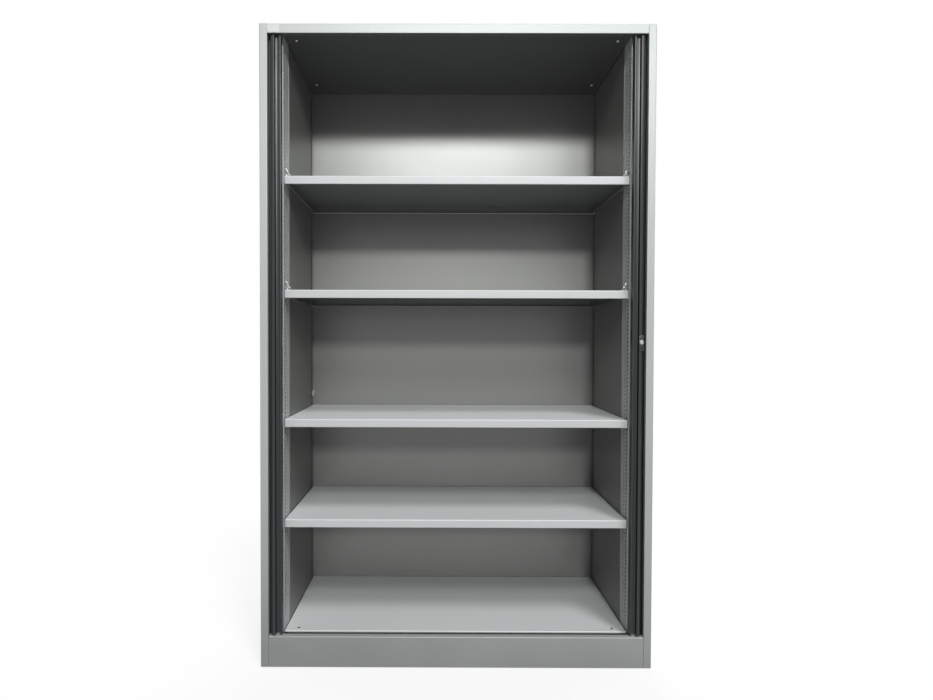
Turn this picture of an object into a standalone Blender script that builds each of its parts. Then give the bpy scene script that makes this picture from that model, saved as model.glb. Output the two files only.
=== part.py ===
# Tambour door cabinet: a full-height steel cupboard with two sideways shutters.
# Frame: X to the right, Y to the back, Z up, origin at the middle of the footprint on the floor.
# The doors are modelled open, each shutter run back into its side and behind the inner back.

import math

import bmesh
import bpy
from mathutils import Matrix, Vector

# Overall size, in metres
CABINET_WIDTH = 1.200
CABINET_DEPTH = 0.450
CABINET_HEIGHT = 1.960

# Sheet steel and fits
SHEET = 0.0012
FIT_GAP = 0.0003
FOOT_LIFT = 0.002          # lower edges of the panels above the floor
BEND_RADIUS = 0.004        # outer radius of the front stile's fold
BEND_STEPS = 3
CUT_OVERRUN = 0.003        # how far every cutter runs past its wall

# Front frame
STILE_FACE = 0.0245
STILE_RETURN = 0.0125
RAIL_FACE = 0.029
TRACK_MOUTH_SHARE = 1 / 3    # top track's mouth, as a share of the rail's face above its lower edge
PLINTH_TOP = 0.096
LEDGE_DEPTH = 0.018
REAR_FLANGE = 0.020

# Lead stiles, seen in plan
LEAD_GAP = 0.0065          # dark gap beside the frame stile
LEAD_FACE = 0.0145
LEAD_GROOVE = 0.0130
LEAD_RIDGE = 0.0065
LEAD_FRONT = 0.0025        # its front behind the cabinet's front
LEAD_DEPTH = 0.0265
GROOVE_DEPTH = 0.0130
RIDGE_STEP = 0.003         # the ridge's front behind the face's front
FACE_FALL = 0.009          # how far the face curves back to its outer edge
FACE_STEPS = 5
LEAD_FILLET = 0.0012
MEETING_GAP = 0.001        # from each ridge to the cabinet's middle when shut
LEAD_OVERHANG = 0.0025     # each ridge's side inside the clear opening
CAP_RUN_GAP = 0.0005       # a glide cap over the ledge and under the rail
CAP_PLATE = 0.0033
CAP_TONGUE_INSET = 0.004   # tongue's end from the lead stile's edges, at the corner side
CAP_SIDE_INSET = 0.001

# Shutter tracks and curtains
TRACK_CLEAR = 0.002
TRACK_WIDTH = 0.012
TRACK_GROOVE = 0.009
TRACK_WALL_HEIGHT = 0.012
TRACK_FLOOR = 0.002
TRACK_PANEL_GAP = 0.0043   # track to the outer side panel
TRACK_END_EXTRA = 0.020
CORNER_RADIUS = 0.0255
CORNER_STEPS = 6
CURTAIN_THICKNESS = 0.005
SLAT_PITCH = 0.0165
SLAT_NOTCH_WIDTH = 0.0024
SLAT_NOTCH_DEPTH = 0.0032
CURTAIN_HIDDEN = 0.026     # curtain that stays round the corner when shut
CURTAIN_TOP_PLAY = 0.001

# Inner box
PAN_CLEAR = 0.005          # front track to the fronts of shelves and pans
PAN_DROP = 0.002           # base pan below the plinth's ledge
PAN_FLANGE_STEP = 0.024    # base floor's top below the base pan's top
CEILING_DROP = 0.016
REAR_CAVITY = 0.043        # inner back's face to the cabinet's rear
BACK_FLANGE = 0.010
REAR_CLEAR = 0.0118        # rear track to the outer back
PAN_SIDE_GAP = 0.001
PAN_LIP = 0.010

# Uprights and liners
STRIP_RECESS = 0.0015
FRONT_LIP = 0.005
FRONT_STRIP = 0.063
FRONT_WEB = 0.034
REAR_STRIP = 0.021
STRIP_FLANGE = 0.008
LINER_FLANGE = 0.011
SLOT_PITCH = 0.0126
SLOT_HEIGHT = 0.0066
SLOT_WIDTH = 0.0050
SLOT_INSET = 0.0150        # first slot column behind the front lip
REAR_SLOT_INSET = 0.0100   # rear slot column before the inner back
FIRST_SLOT = 0.040         # above the base pan
SLOT_END_MARGIN = 0.030
FRONT_SLOT_SKIP = 2        # every second slot is cut in front, every fourth at the rear
REAR_SLOT_SKIP = 4

# Shelves, counted in slots above the first one, top to bottom
SHELF_SLOTS = (109, 81, 49, 24)
SHELF_RISE = 0.0086        # a shelf's top above the slot it is counted from
SHELF_THICKNESS = 0.0255
SHELF_SIDE_GAP = 0.0020
SHELF_REAR_GAP = 0.003
SHELF_LIP = 0.012

# Wire clips
WIRE = 0.0024
WIRE_SIDES_RESOLUTION = 1
FRONT_CLIP_SLOTS = (3, 3, 0, 0)    # hooks of each shelf's front clips, above the shelf's slot
CLIP_TONGUE = 0.012
CLIP_TAIL = 0.004
SPARE_CLIP_SLOT = 54

# Levelling feet and the holes over them
FOOT_SIDE_INSET = 0.041
FOOT_FRONT_INSET = 0.018
FOOT_REAR_INSET = 0.030
FOOT_PAD_RADIUS = 0.016
FOOT_PAD_EDGE = 0.005
FOOT_PAD_HEIGHT = 0.011
FOOT_NECK_RADIUS = 0.0075
FOOT_STEM_RADIUS = 0.005
FOOT_STEM_TOP_GAP = 0.004
FOOT_SIDES = 12
ACCESS_HOLE_RADIUS = 0.0045
PAD_TOP_GAP = 0.022        # pad's top below the base floor, at least the foot's travel

# Lock in the right lead stile
LOCK_HEIGHT = 1.003
LOCK_FROM_EDGE = 0.0073    # barrel's axis from the lead stile's outer edge
HOUSING_WIDTH = 0.0144
HOUSING_HEIGHT = 0.048
HOUSING_BELOW_AXIS = 0.027
HOUSING_PROUD = 0.0014
HOUSING_SEAT = 0.0030      # housing let into the curved face, behind the lead's front
HOUSING_BEVEL = 0.0012
BARREL_RADIUS = 0.0055
BARREL_PROUD = 0.0003
BARREL_SIDES = 20
KEYWAY_WIDTH = 0.0016
KEYWAY_HEIGHT = 0.0056
KEYWAY_DEPTH = 0.002
HOOK_LENGTH = 0.036
HOOK_WIDTH = 0.010
HOOK_THICKNESS = 0.003
HOOK_BARB = 0.0028
HOOK_SLOT_DEPTH = 0.006
HOOK_BACK_SKIN = 0.0045
HOOK_PLAY = 0.0010
STRIKE_WIDTH = 0.0125
STRIKE_BORDER = 0.006
STRIKE_REACH = 0.012
STRIKE_BELOW_AXIS = 0.010
STRIKE_ABOVE_AXIS = 0.028  # the bolt's tip swings down into the slot from here

# Places that follow from the sizes above, for the left side where x is negative
HALF_WIDTH = CABINET_WIDTH / 2
FRONT = -CABINET_DEPTH / 2
REAR = CABINET_DEPTH / 2
PANEL_IN_X = HALF_WIDTH - SHEET - FIT_GAP
STILE_X = HALF_WIDTH - STILE_FACE
LEAD_OUT_X = STILE_X - LEAD_GAP
LEAD_IN_X = LEAD_OUT_X - LEAD_FACE - LEAD_GROOVE - LEAD_RIDGE
LINER_X = LEAD_IN_X + LEAD_OVERHANG
STRIP_X = LINER_X + STRIP_RECESS
TRAVEL = LEAD_IN_X - MEETING_GAP

RUN_FRONT_Y = FRONT + LEDGE_DEPTH + TRACK_CLEAR + TRACK_WIDTH / 2
INNER_FRONT = RUN_FRONT_Y + TRACK_WIDTH / 2 + PAN_CLEAR
INNER_BACK = REAR - REAR_CAVITY
RUN_REAR_Y = REAR - 2 * SHEET - FIT_GAP - REAR_CLEAR - TRACK_WIDTH / 2
RUN_SIDE_X = HALF_WIDTH - SHEET - TRACK_PANEL_GAP - TRACK_WIDTH / 2
CORNER_X = RUN_SIDE_X - CORNER_RADIUS

LID_UNDER = CABINET_HEIGHT - SHEET
RAIL_BOTTOM = CABINET_HEIGHT - RAIL_FACE
BASE_PAN_TOP = PLINTH_TOP - PAN_DROP
FLOOR_TOP = BASE_PAN_TOP - PAN_FLANGE_STEP - FIT_GAP
CEILING_UNDER = CABINET_HEIGHT - CEILING_DROP
BED = FLOOR_TOP + FIT_GAP
TOP_SEAT = LID_UNDER - FIT_GAP

LEAD_FRONT_Y = FRONT + LEAD_FRONT
LEAD_BACK_Y = LEAD_FRONT_Y + LEAD_DEPTH
GROOVE_Y = LEAD_FRONT_Y + GROOVE_DEPTH
LEAD_BOTTOM = PLINTH_TOP + CAP_RUN_GAP + CAP_PLATE + FIT_GAP
LEAD_TOP = RAIL_BOTTOM - CAP_RUN_GAP - CAP_PLATE - FIT_GAP

CURTAIN_BOTTOM = BED + TRACK_FLOOR + FIT_GAP
TOP_TRACK_MOUTH = RAIL_BOTTOM + RAIL_FACE * TRACK_MOUTH_SHARE
TOP_TRACK_FLOOR = TOP_TRACK_MOUTH + TRACK_WALL_HEIGHT - TRACK_FLOOR
CURTAIN_TOP = TOP_TRACK_FLOOR - CURTAIN_TOP_PLAY

SLOT_Y = INNER_FRONT + FRONT_LIP + SLOT_INSET
REAR_SLOT_Y = INNER_BACK - REAR_SLOT_INSET
SLOT_BASE = BASE_PAN_TOP + FIRST_SLOT

FOOT_X = LINER_X - FOOT_SIDE_INSET
FOOT_Y = {"front": INNER_FRONT + FOOT_FRONT_INSET, "rear": INNER_BACK - FOOT_REAR_INSET}

BARREL_X = LEAD_OUT_X - LOCK_FROM_EDGE
HOOK_SLOT_BACK = LEAD_BACK_Y - HOOK_BACK_SKIN
HOOK_SLOT_FRONT = HOOK_SLOT_BACK - HOOK_SLOT_DEPTH
HOOK_Y = (HOOK_SLOT_FRONT + HOOK_SLOT_BACK) / 2

SIDES = {"left": -1, "right": 1}

# Base colour, roughness and metallic of each finish
FINISHES = {
    "silver_paint": ((0.45, 0.47, 0.46), 0.45, 0.1),
    "shelf_paint": ((0.50, 0.51, 0.51), 0.42, 0.1),
    "charcoal_profile": ((0.055, 0.057, 0.062), 0.42, 0.1),
    "charcoal_curtain": ((0.050, 0.052, 0.056), 0.55, 0.0),
    "track_plastic": ((0.025, 0.025, 0.027), 0.60, 0.0),
    "glide_plastic": ((0.35, 0.35, 0.35), 0.50, 0.0),
    "zinc_wire": ((0.62, 0.63, 0.65), 0.30, 1.0),
    "lock_chrome": ((0.75, 0.75, 0.77), 0.16, 1.0),
    "lock_housing": ((0.040, 0.040, 0.045), 0.35, 0.0),
    "foot_plastic": ((0.030, 0.030, 0.032), 0.65, 0.0),
}


# Scene and material helpers

def clear_scene():
    for old in list(bpy.data.objects):
        bpy.data.objects.remove(old, do_unlink=True)


def finish_material(node, finish):
    colour, roughness, metallic = FINISHES[finish]
    material = bpy.data.materials.new(node + "_" + finish)
    material.use_nodes = True
    shader = material.node_tree.nodes["Principled BSDF"]
    shader.inputs["Base Color"].default_value = (*colour, 1.0)
    shader.inputs["Roughness"].default_value = roughness
    shader.inputs["Metallic"].default_value = metallic
    return material


def object_from_bmesh(name, shape, finish):
    bmesh.ops.recalc_face_normals(shape, faces=shape.faces)
    if shape.calc_volume(signed=True) < 0:
        bmesh.ops.reverse_faces(shape, faces=shape.faces)
    mesh = bpy.data.meshes.new(name)
    shape.to_mesh(mesh)
    shape.free()
    made = bpy.data.objects.new(name, mesh)
    bpy.context.collection.objects.link(made)
    if finish:
        mesh.materials.append(finish_material(name, finish))
    return made


def set_origin(made, point):
    place = Vector(point)
    made.data.transform(Matrix.Translation(-place))
    made.location = place


def gather(name, point, members):
    """Empty on a joint's axis, with the pieces that move on it as its children."""
    empty = bpy.data.objects.new(name, None)
    empty.location = point
    bpy.context.collection.objects.link(empty)
    for member in members:
        member.parent = empty
        member.matrix_parent_inverse = Matrix.Translation(-Vector(point))
    return empty


# Shape helpers

def extruded(outline, low, high):
    """Bmesh of a plan outline, carried up from low to high."""
    shape = bmesh.new()
    corners = [shape.verts.new((x, y, low)) for x, y in outline]
    face = shape.faces.new(corners)
    grown = bmesh.ops.extrude_face_region(shape, geom=[face])
    lifted = [item for item in grown["geom"] if isinstance(item, bmesh.types.BMVert)]
    bmesh.ops.translate(shape, verts=lifted, vec=(0, 0, high - low))
    return shape


def box_shape(shape, low, high):
    """Add a box between two corners to a bmesh."""
    size = Vector(high) - Vector(low)
    middle = (Vector(high) + Vector(low)) / 2
    made = bmesh.ops.create_cube(shape, size=1)
    bmesh.ops.scale(shape, verts=made["verts"], vec=size)
    bmesh.ops.translate(shape, verts=made["verts"], vec=middle)


def box(name, low, high, finish):
    shape = bmesh.new()
    box_shape(shape, low, high)
    return object_from_bmesh(name, shape, finish)


def sheet_outline(path, thickness):
    """Closed outline of a bent sheet: the path is its left-hand skin, offset to the right."""
    far = []
    last = len(path) - 1
    for index, point in enumerate(path):
        here = Vector(point)
        before = (here - Vector(path[index - 1])).normalized() if index > 0 else None
        after = (Vector(path[index + 1]) - here).normalized() if index < last else None
        before = before or after
        after = after or before
        normal_a = Vector((before.y, -before.x))
        normal_b = Vector((after.y, -after.x))
        middle = (normal_a + normal_b).normalized()
        far.append(here + middle * (thickness / middle.dot(normal_a)))
    return [tuple(point) for point in path] + [tuple(point) for point in reversed(far)]


def arc_points(centre, radius, start, end, steps):
    """Points on an arc about a centre, from one angle to another in degrees."""
    points = []
    for step in range(steps + 1):
        angle = math.radians(start + (end - start) * step / steps)
        points.append((centre[0] + radius * math.cos(angle), centre[1] + radius * math.sin(angle)))
    return points


def mirrored(points, sign):
    """Points given for the right side, moved to the side whose sign is given."""
    return [(sign * x, y) for x, y in points]


def panned(name, half_x, y_low, y_high, face, depth, lip, finish):
    """Tray with its flat face at one height, walls of a signed depth and turned-in lips."""
    grain = math.copysign(SHEET, depth)
    rings = (
        (0, face),
        (0, face + depth),
        (lip, face + depth),
        (lip, face + depth - grain),
        (SHEET, face + depth - grain),
        (SHEET, face + grain),
    )
    shape = bmesh.new()
    loops = []
    for inset, height in rings:
        corners = (
            (-half_x + inset, y_low + inset),
            (half_x - inset, y_low + inset),
            (half_x - inset, y_high - inset),
            (-half_x + inset, y_high - inset),
        )
        loops.append([shape.verts.new((x, y, height)) for x, y in corners])
    for lower, upper in zip(loops, loops[1:]):
        for corner in range(len(lower)):
            after = (corner + 1) % len(lower)
            shape.faces.new((lower[corner], lower[after], upper[after], upper[corner]))
    shape.faces.new(loops[0])
    shape.faces.new(loops[-1])
    return object_from_bmesh(name, shape, finish)


def cut(target, name, shape):
    """Cut a bmesh out of an object with an exact Boolean, on a hidden cutter."""
    cutter = object_from_bmesh(name + "_cutter", shape, None)
    cutter.hide_render = True
    cutter.display_type = "WIRE"
    boolean = target.modifiers.new(name, "BOOLEAN")
    boolean.operation = "DIFFERENCE"
    boolean.solver = "EXACT"
    boolean.object = cutter
    return cutter


def box_cut(target, name, low, high):
    shape = bmesh.new()
    box_shape(shape, low, high)
    return cut(target, name, shape)


def disc_shape(shape, centre, radius, length, sides, turn):
    """Add a prism of regular section to a bmesh, its axis turned from Z by a matrix."""
    place = Matrix.Translation(Vector(centre)) @ turn
    bmesh.ops.create_cone(shape, cap_ends=True, segments=sides, radius1=radius, radius2=radius,
                          depth=length, matrix=place)


NO_TURN = Matrix.Identity(4)
ALONG_Y = Matrix.Rotation(math.radians(90), 4, "X")


# Carcass

def side_panel(side, sign):
    """Outer side with the front stile and the rear flange folded from one sheet."""
    corner = (HALF_WIDTH - BEND_RADIUS, FRONT + BEND_RADIUS)
    path = [(STILE_X, FRONT + STILE_RETURN), (STILE_X, FRONT)]
    path += arc_points(corner, BEND_RADIUS, -90, 0, BEND_STEPS)
    path += [(HALF_WIDTH, REAR), (HALF_WIDTH - REAR_FLANGE, REAR)]
    outline = mirrored(sheet_outline(path, -SHEET), sign)
    shape = extruded(outline, FOOT_LIFT, CABINET_HEIGHT)
    object_from_bmesh(side + "_side_panel", shape, "silver_paint")


def turned_to_x(section, half_length, name, finish):
    """Solid with a (y, z) section carried along X."""
    shape = extruded(section, -half_length, half_length)
    for vert in shape.verts:
        vert.co = Vector((vert.co.z, vert.co.x, vert.co.y))
    return object_from_bmesh(name, shape, finish)


def front_rails():
    """Top rail and plinth: folded fronts between the stiles, each with its ledge."""
    half = STILE_X - FIT_GAP
    ledge = FRONT + LEDGE_DEPTH
    lid_edge = FRONT + STILE_RETURN
    top = [(lid_edge, CABINET_HEIGHT), (FRONT, CABINET_HEIGHT), (FRONT, RAIL_BOTTOM),
           (ledge, RAIL_BOTTOM), (ledge, TOP_SEAT)]
    turned_to_x(sheet_outline(top, -SHEET), half, "top_rail", "silver_paint")
    plinth = [(FRONT, FOOT_LIFT), (FRONT, PLINTH_TOP), (ledge, PLINTH_TOP), (ledge, BED)]
    turned_to_x(sheet_outline(plinth, SHEET), half, "front_plinth", "silver_paint")


def lid():
    """Flat lid between the side panels, with an ear into the top of each front stile."""
    low = FRONT + SHEET + FIT_GAP
    behind = FRONT + STILE_RETURN + FIT_GAP
    high = REAR - SHEET - FIT_GAP
    ear = STILE_X + SHEET + FIT_GAP
    right = [(ear, behind), (ear, low), (PANEL_IN_X - BEND_RADIUS, low),
             (PANEL_IN_X, low + BEND_RADIUS), (PANEL_IN_X, high)]
    outline = mirrored(reversed(right), -1) + right
    shape = extruded(outline, LID_UNDER, CABINET_HEIGHT)
    object_from_bmesh("top_panel", shape, "silver_paint")


def foot_places():
    for end, y in FOOT_Y.items():
        for side, sign in SIDES.items():
            yield end + "_" + side, sign * FOOT_X, y


def holes_cut(target, name, radius, height):
    """Round holes over the four feet, through a sheet at the given height."""
    shape = bmesh.new()
    for _, x, y in foot_places():
        disc_shape(shape, (x, y, height), radius, 2 * CUT_OVERRUN, FOOT_SIDES, NO_TURN)
    cut(target, name, shape)


def floors_and_backs():
    low = FRONT + STILE_RETURN + FIT_GAP
    high = REAR - 2 * SHEET - 2 * FIT_GAP
    floor = box("base_floor", (-PANEL_IN_X, low, FLOOR_TOP - SHEET),
                (PANEL_IN_X, high, FLOOR_TOP), "silver_paint")
    holes_cut(floor, "stem_holes", FOOT_STEM_RADIUS + FIT_GAP, FLOOR_TOP - SHEET / 2)

    half = LINER_X - PAN_SIDE_GAP
    rear = INNER_BACK - FIT_GAP
    pan = panned("base_pan", half, INNER_FRONT, rear, BASE_PAN_TOP, BED - BASE_PAN_TOP,
                 PAN_LIP, "shelf_paint")
    holes_cut(pan, "access_holes", ACCESS_HOLE_RADIUS, BASE_PAN_TOP - SHEET / 2)
    panned("ceiling_pan", half, INNER_FRONT, rear, CEILING_UNDER, TOP_SEAT - CEILING_UNDER,
           PAN_LIP, "shelf_paint")

    back_y = REAR - SHEET - FIT_GAP
    box("back_panel", (-PANEL_IN_X, back_y - SHEET, FOOT_LIFT), (PANEL_IN_X, back_y, TOP_SEAT),
        "silver_paint")
    flange = INNER_BACK + BACK_FLANGE
    half = STRIP_X + STRIP_FLANGE
    path = [(-half, flange), (-half, INNER_BACK), (half, INNER_BACK), (half, flange)]
    shape = extruded(sheet_outline(path, -SHEET), BED, TOP_SEAT)
    object_from_bmesh("inner_back", shape, "shelf_paint")


# Uprights and liners

def slot_heights(skip):
    """Slots that are cut: every skip-th one, and each one that holds a clip."""
    count = int((CEILING_UNDER - SLOT_END_MARGIN - SLOT_BASE) / SLOT_PITCH)
    hooked = {slot + rise for slot, rise in zip(SHELF_SLOTS, FRONT_CLIP_SLOTS)}
    held = hooked | set(SHELF_SLOTS) | {SPARE_CLIP_SLOT}
    kept = [slot for slot in range(count + 1) if slot % skip == 0 or slot in held]
    return [SLOT_BASE + slot * SLOT_PITCH for slot in kept]


def slotted_upright(name, sign, path, column_y, skip):
    shape = extruded(mirrored(sheet_outline(path, -SHEET), sign), BED, TOP_SEAT)
    upright = object_from_bmesh(name, shape, "silver_paint")
    slots = bmesh.new()
    for height in slot_heights(skip):
        low_x = sign * (STRIP_X - CUT_OVERRUN)
        high_x = sign * (STRIP_X + SHEET + CUT_OVERRUN)
        box_shape(slots,
                  (min(low_x, high_x), column_y - SLOT_WIDTH / 2, height - SLOT_HEIGHT / 2),
                  (max(low_x, high_x), column_y + SLOT_WIDTH / 2, height + SLOT_HEIGHT / 2))
    cut(upright, name + "_slots", slots)


def uprights_and_liners(side, sign):
    strip_end = INNER_FRONT + FRONT_STRIP
    front = [(LINER_X + FRONT_WEB, INNER_FRONT), (LINER_X, INNER_FRONT),
             (LINER_X, INNER_FRONT + FRONT_LIP), (STRIP_X, INNER_FRONT + FRONT_LIP),
             (STRIP_X, strip_end)]
    slotted_upright(side + "_front_upright", sign, list(reversed(front)), SLOT_Y, FRONT_SLOT_SKIP)

    rear_end = INNER_BACK - FIT_GAP
    rear_start = rear_end - REAR_STRIP
    rear = [(STRIP_X + STRIP_FLANGE, rear_end), (STRIP_X, rear_end), (STRIP_X, rear_start)]
    slotted_upright(side + "_rear_upright", sign, rear, REAR_SLOT_Y, REAR_SLOT_SKIP)

    low = strip_end + FIT_GAP
    high = rear_start - FIT_GAP
    liner = [(LINER_X + LINER_FLANGE, high), (LINER_X, high), (LINER_X, low),
             (LINER_X + LINER_FLANGE, low)]
    shape = extruded(mirrored(sheet_outline(liner, -SHEET), sign), BED, TOP_SEAT)
    object_from_bmesh(side + "_liner", shape, "silver_paint")


# Shutter run in plan, for the right side: along the front, round the corner, back along the
# side, round the rear corner and in behind the inner back.

SIDE_RUN = RUN_REAR_Y - RUN_FRONT_Y - 2 * CORNER_RADIUS
CORNER_RUN = CORNER_RADIUS * math.pi / 2


def run_point(distance):
    """Point and outward normal of the run at a distance from the cabinet's middle."""
    if distance <= CORNER_X:
        return Vector((distance, RUN_FRONT_Y)), Vector((0, -1))
    distance -= CORNER_X
    if distance <= CORNER_RUN:
        angle = distance / CORNER_RADIUS - math.pi / 2
        normal = Vector((math.cos(angle), math.sin(angle)))
        return Vector((CORNER_X, RUN_FRONT_Y + CORNER_RADIUS)) + normal * CORNER_RADIUS, normal
    distance -= CORNER_RUN
    if distance <= SIDE_RUN:
        return Vector((RUN_SIDE_X, RUN_FRONT_Y + CORNER_RADIUS + distance)), Vector((1, 0))
    distance -= SIDE_RUN
    if distance <= CORNER_RUN:
        angle = distance / CORNER_RADIUS
        normal = Vector((math.cos(angle), math.sin(angle)))
        return Vector((CORNER_X, RUN_REAR_Y - CORNER_RADIUS)) + normal * CORNER_RADIUS, normal
    distance -= CORNER_RUN
    return Vector((CORNER_X - distance, RUN_REAR_Y)), Vector((0, 1))


def curtain_start():
    """Distance along the run at which the curtain meets the lead stile's outer edge."""
    past = LEAD_OUT_X + FIT_GAP - CORNER_X
    inner_radius = CORNER_RADIUS - CURTAIN_THICKNESS / 2
    return CORNER_X + CORNER_RADIUS * math.asin(max(past, 0) / inner_radius)


SLAT_COUNT = math.ceil((TRAVEL + CURTAIN_HIDDEN) / SLAT_PITCH)
CURTAIN_LENGTH = SLAT_COUNT * SLAT_PITCH


def curtain(side, sign):
    """One ribbed sheet of slats, with a notch in its outer face at each living hinge."""
    outer = []
    inner = []
    start = curtain_start()
    half = CURTAIN_THICKNESS / 2
    for slat in range(SLAT_COUNT + 1):
        hinge = start + slat * SLAT_PITCH
        point, normal = run_point(hinge)
        inner.append(point - normal * half)
        if slat > 0:
            near, near_normal = run_point(hinge - SLAT_NOTCH_WIDTH / 2)
            outer.append(near + near_normal * half)
        if 0 < slat < SLAT_COUNT:
            outer.append(point + normal * (half - SLAT_NOTCH_DEPTH))
        if slat < SLAT_COUNT:
            near, near_normal = run_point(hinge + SLAT_NOTCH_WIDTH / 2)
            outer.append(near + near_normal * half)
    outline = [tuple(point) for point in outer + list(reversed(inner))]
    shape = extruded(mirrored(outline, sign), CURTAIN_BOTTOM, CURTAIN_TOP)
    return object_from_bmesh(side + "_curtain", shape, "charcoal_curtain")


def run_distances(start, end):
    """Distances along the run that its shape needs: the ends, and steps round the corners."""
    knots = []
    for corner in (CORNER_X, CORNER_X + CORNER_RUN + SIDE_RUN):
        knots += [corner + CORNER_RUN * step / CORNER_STEPS for step in range(CORNER_STEPS + 1)]
    return [start] + [knot for knot in knots if start < knot < end] + [end]


def track(name, places, floor, mouth):
    """Open channel along a run: its section is a U with its floor and mouth heights given."""
    half = TRACK_WIDTH / 2
    groove = TRACK_GROOVE / 2
    root = floor + math.copysign(TRACK_FLOOR, mouth - floor)
    if mouth < floor:
        root = TOP_TRACK_FLOOR
    section = ((-half, floor), (half, floor), (half, mouth), (groove, mouth), (groove, root),
               (-groove, root), (-groove, mouth), (-half, mouth))
    shape = bmesh.new()
    rings = []
    for point, normal in places:
        rings.append([shape.verts.new((*(point + normal * aside), height))
                      for aside, height in section])
    for ring, after in zip(rings, rings[1:]):
        for index in range(len(section)):
            following = (index + 1) % len(section)
            shape.faces.new((ring[index], ring[following], after[following], after[index]))
    shape.faces.new(rings[0])
    shape.faces.new(rings[-1])
    object_from_bmesh(name, shape, "track_plastic")


def tracks():
    levels = {"bottom": (BED, BED + TRACK_WALL_HEIGHT), "top": (TOP_SEAT, TOP_TRACK_MOUTH)}
    for level, (floor, mouth) in levels.items():
        end = CORNER_X - FIT_GAP / 2
        front = [(Vector((x, RUN_FRONT_Y)), Vector((0, -1))) for x in (-end, end)]
        track(level + "_front_track", front, floor, mouth)
        start = CORNER_X + FIT_GAP / 2
        finish = curtain_start() + CURTAIN_LENGTH + TRACK_END_EXTRA
        for side, sign in SIDES.items():
            places = []
            for distance in run_distances(start, finish):
                point, normal = run_point(distance)
                places.append((Vector((sign * point.x, point.y)), Vector((sign * normal.x, normal.y))))
            track(side + "_" + level + "_track", places, floor, mouth)


# Shelves and clips

def shelf_height(slot):
    return SLOT_BASE + slot * SLOT_PITCH + SHELF_RISE


def shelves():
    half = LINER_X - SHELF_SIDE_GAP
    for number, slot in enumerate(SHELF_SLOTS, start=1):
        top = shelf_height(slot)
        shelf = panned("shelf_" + str(number), half, INNER_FRONT, INNER_BACK - SHELF_REAR_GAP, top,
                       -SHELF_THICKNESS, SHELF_LIP, "shelf_paint")
        set_origin(shelf, (0, 0, top))


def wire(name, points):
    """Round wire bent through a few points."""
    curve = bpy.data.curves.new(name, "CURVE")
    curve.dimensions = "3D"
    curve.bevel_depth = WIRE / 2
    curve.bevel_resolution = WIRE_SIDES_RESOLUTION
    curve.use_fill_caps = True
    spline = curve.splines.new("POLY")
    spline.points.add(len(points) - 1)
    for place, point in zip(spline.points, points):
        place.co = (*point, 1)
    curve.materials.append(finish_material(name, "zinc_wire"))
    made = bpy.data.objects.new(name, curve)
    bpy.context.collection.objects.link(made)
    return made


def clip(name, sign, column_y, slot, tongue_z):
    """Hook through a slot of the strip, down beside the shelf and in under its edge."""
    hook_z = SLOT_BASE + slot * SLOT_PITCH
    near_x = sign * (STRIP_X - FIT_GAP - WIRE / 2)
    deep_x = sign * (STRIP_X + SHEET + CLIP_TAIL)
    tongue_x = sign * (LINER_X - SHELF_SIDE_GAP - CLIP_TONGUE)
    shoulder = WIRE / 2
    wire(name, [
        (deep_x, column_y, hook_z),
        (near_x + sign * shoulder, column_y, hook_z),
        (near_x, column_y, hook_z - shoulder),
        (near_x, column_y, tongue_z + shoulder),
        (near_x - sign * shoulder, column_y, tongue_z),
        (tongue_x, column_y, tongue_z),
    ])


def clips():
    below = SHELF_THICKNESS + FIT_GAP + WIRE / 2
    for side, sign in SIDES.items():
        for end, column_y in (("front", SLOT_Y), ("rear", REAR_SLOT_Y)):
            for number, slot in enumerate(SHELF_SLOTS, start=1):
                name = "shelf_" + str(number) + "_" + side + "_" + end + "_clip"
                rise = FRONT_CLIP_SLOTS[number - 1] if end == "front" else 0
                clip(name, sign, column_y, slot + rise, shelf_height(slot) - below)
    spare_z = shelf_height(SPARE_CLIP_SLOT) - below
    clip("spare_clip", SIDES["left"], REAR_SLOT_Y, SPARE_CLIP_SLOT, spare_z)


# Doors

def lead_outline():
    """Plan of the right lead stile: curved face, finger groove and ridge."""
    face_in = LEAD_OUT_X - LEAD_FACE
    groove_in = face_in - LEAD_GROOVE
    fillet = LEAD_FILLET
    outline = [(LEAD_OUT_X, LEAD_BACK_Y), (LEAD_IN_X, LEAD_BACK_Y)]
    ridge_y = LEAD_FRONT_Y + RIDGE_STEP
    outline += arc_points((LEAD_IN_X + fillet, ridge_y + fillet), fillet, 180, 270, 2)
    outline += arc_points((groove_in - fillet, ridge_y + fillet), fillet, 270, 360, 2)
    outline += [(groove_in, GROOVE_Y - fillet), (groove_in + fillet, GROOVE_Y),
                (face_in - fillet, GROOVE_Y), (face_in, GROOVE_Y - fillet)]
    outline += arc_points((face_in + fillet, LEAD_FRONT_Y + fillet), fillet, 180, 270, 2)
    span = LEAD_FACE - fillet
    for step in range(1, FACE_STEPS + 1):
        angle = math.pi / 2 * step / FACE_STEPS
        outline.append((face_in + fillet + span * math.sin(angle),
                        LEAD_FRONT_Y + FACE_FALL * (1 - math.cos(angle))))
    return outline


def lead_stile(side, sign):
    shape = extruded(mirrored(lead_outline(), sign), LEAD_BOTTOM, LEAD_TOP)
    return object_from_bmesh(side + "_lead_stile", shape, "charcoal_profile")


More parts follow.
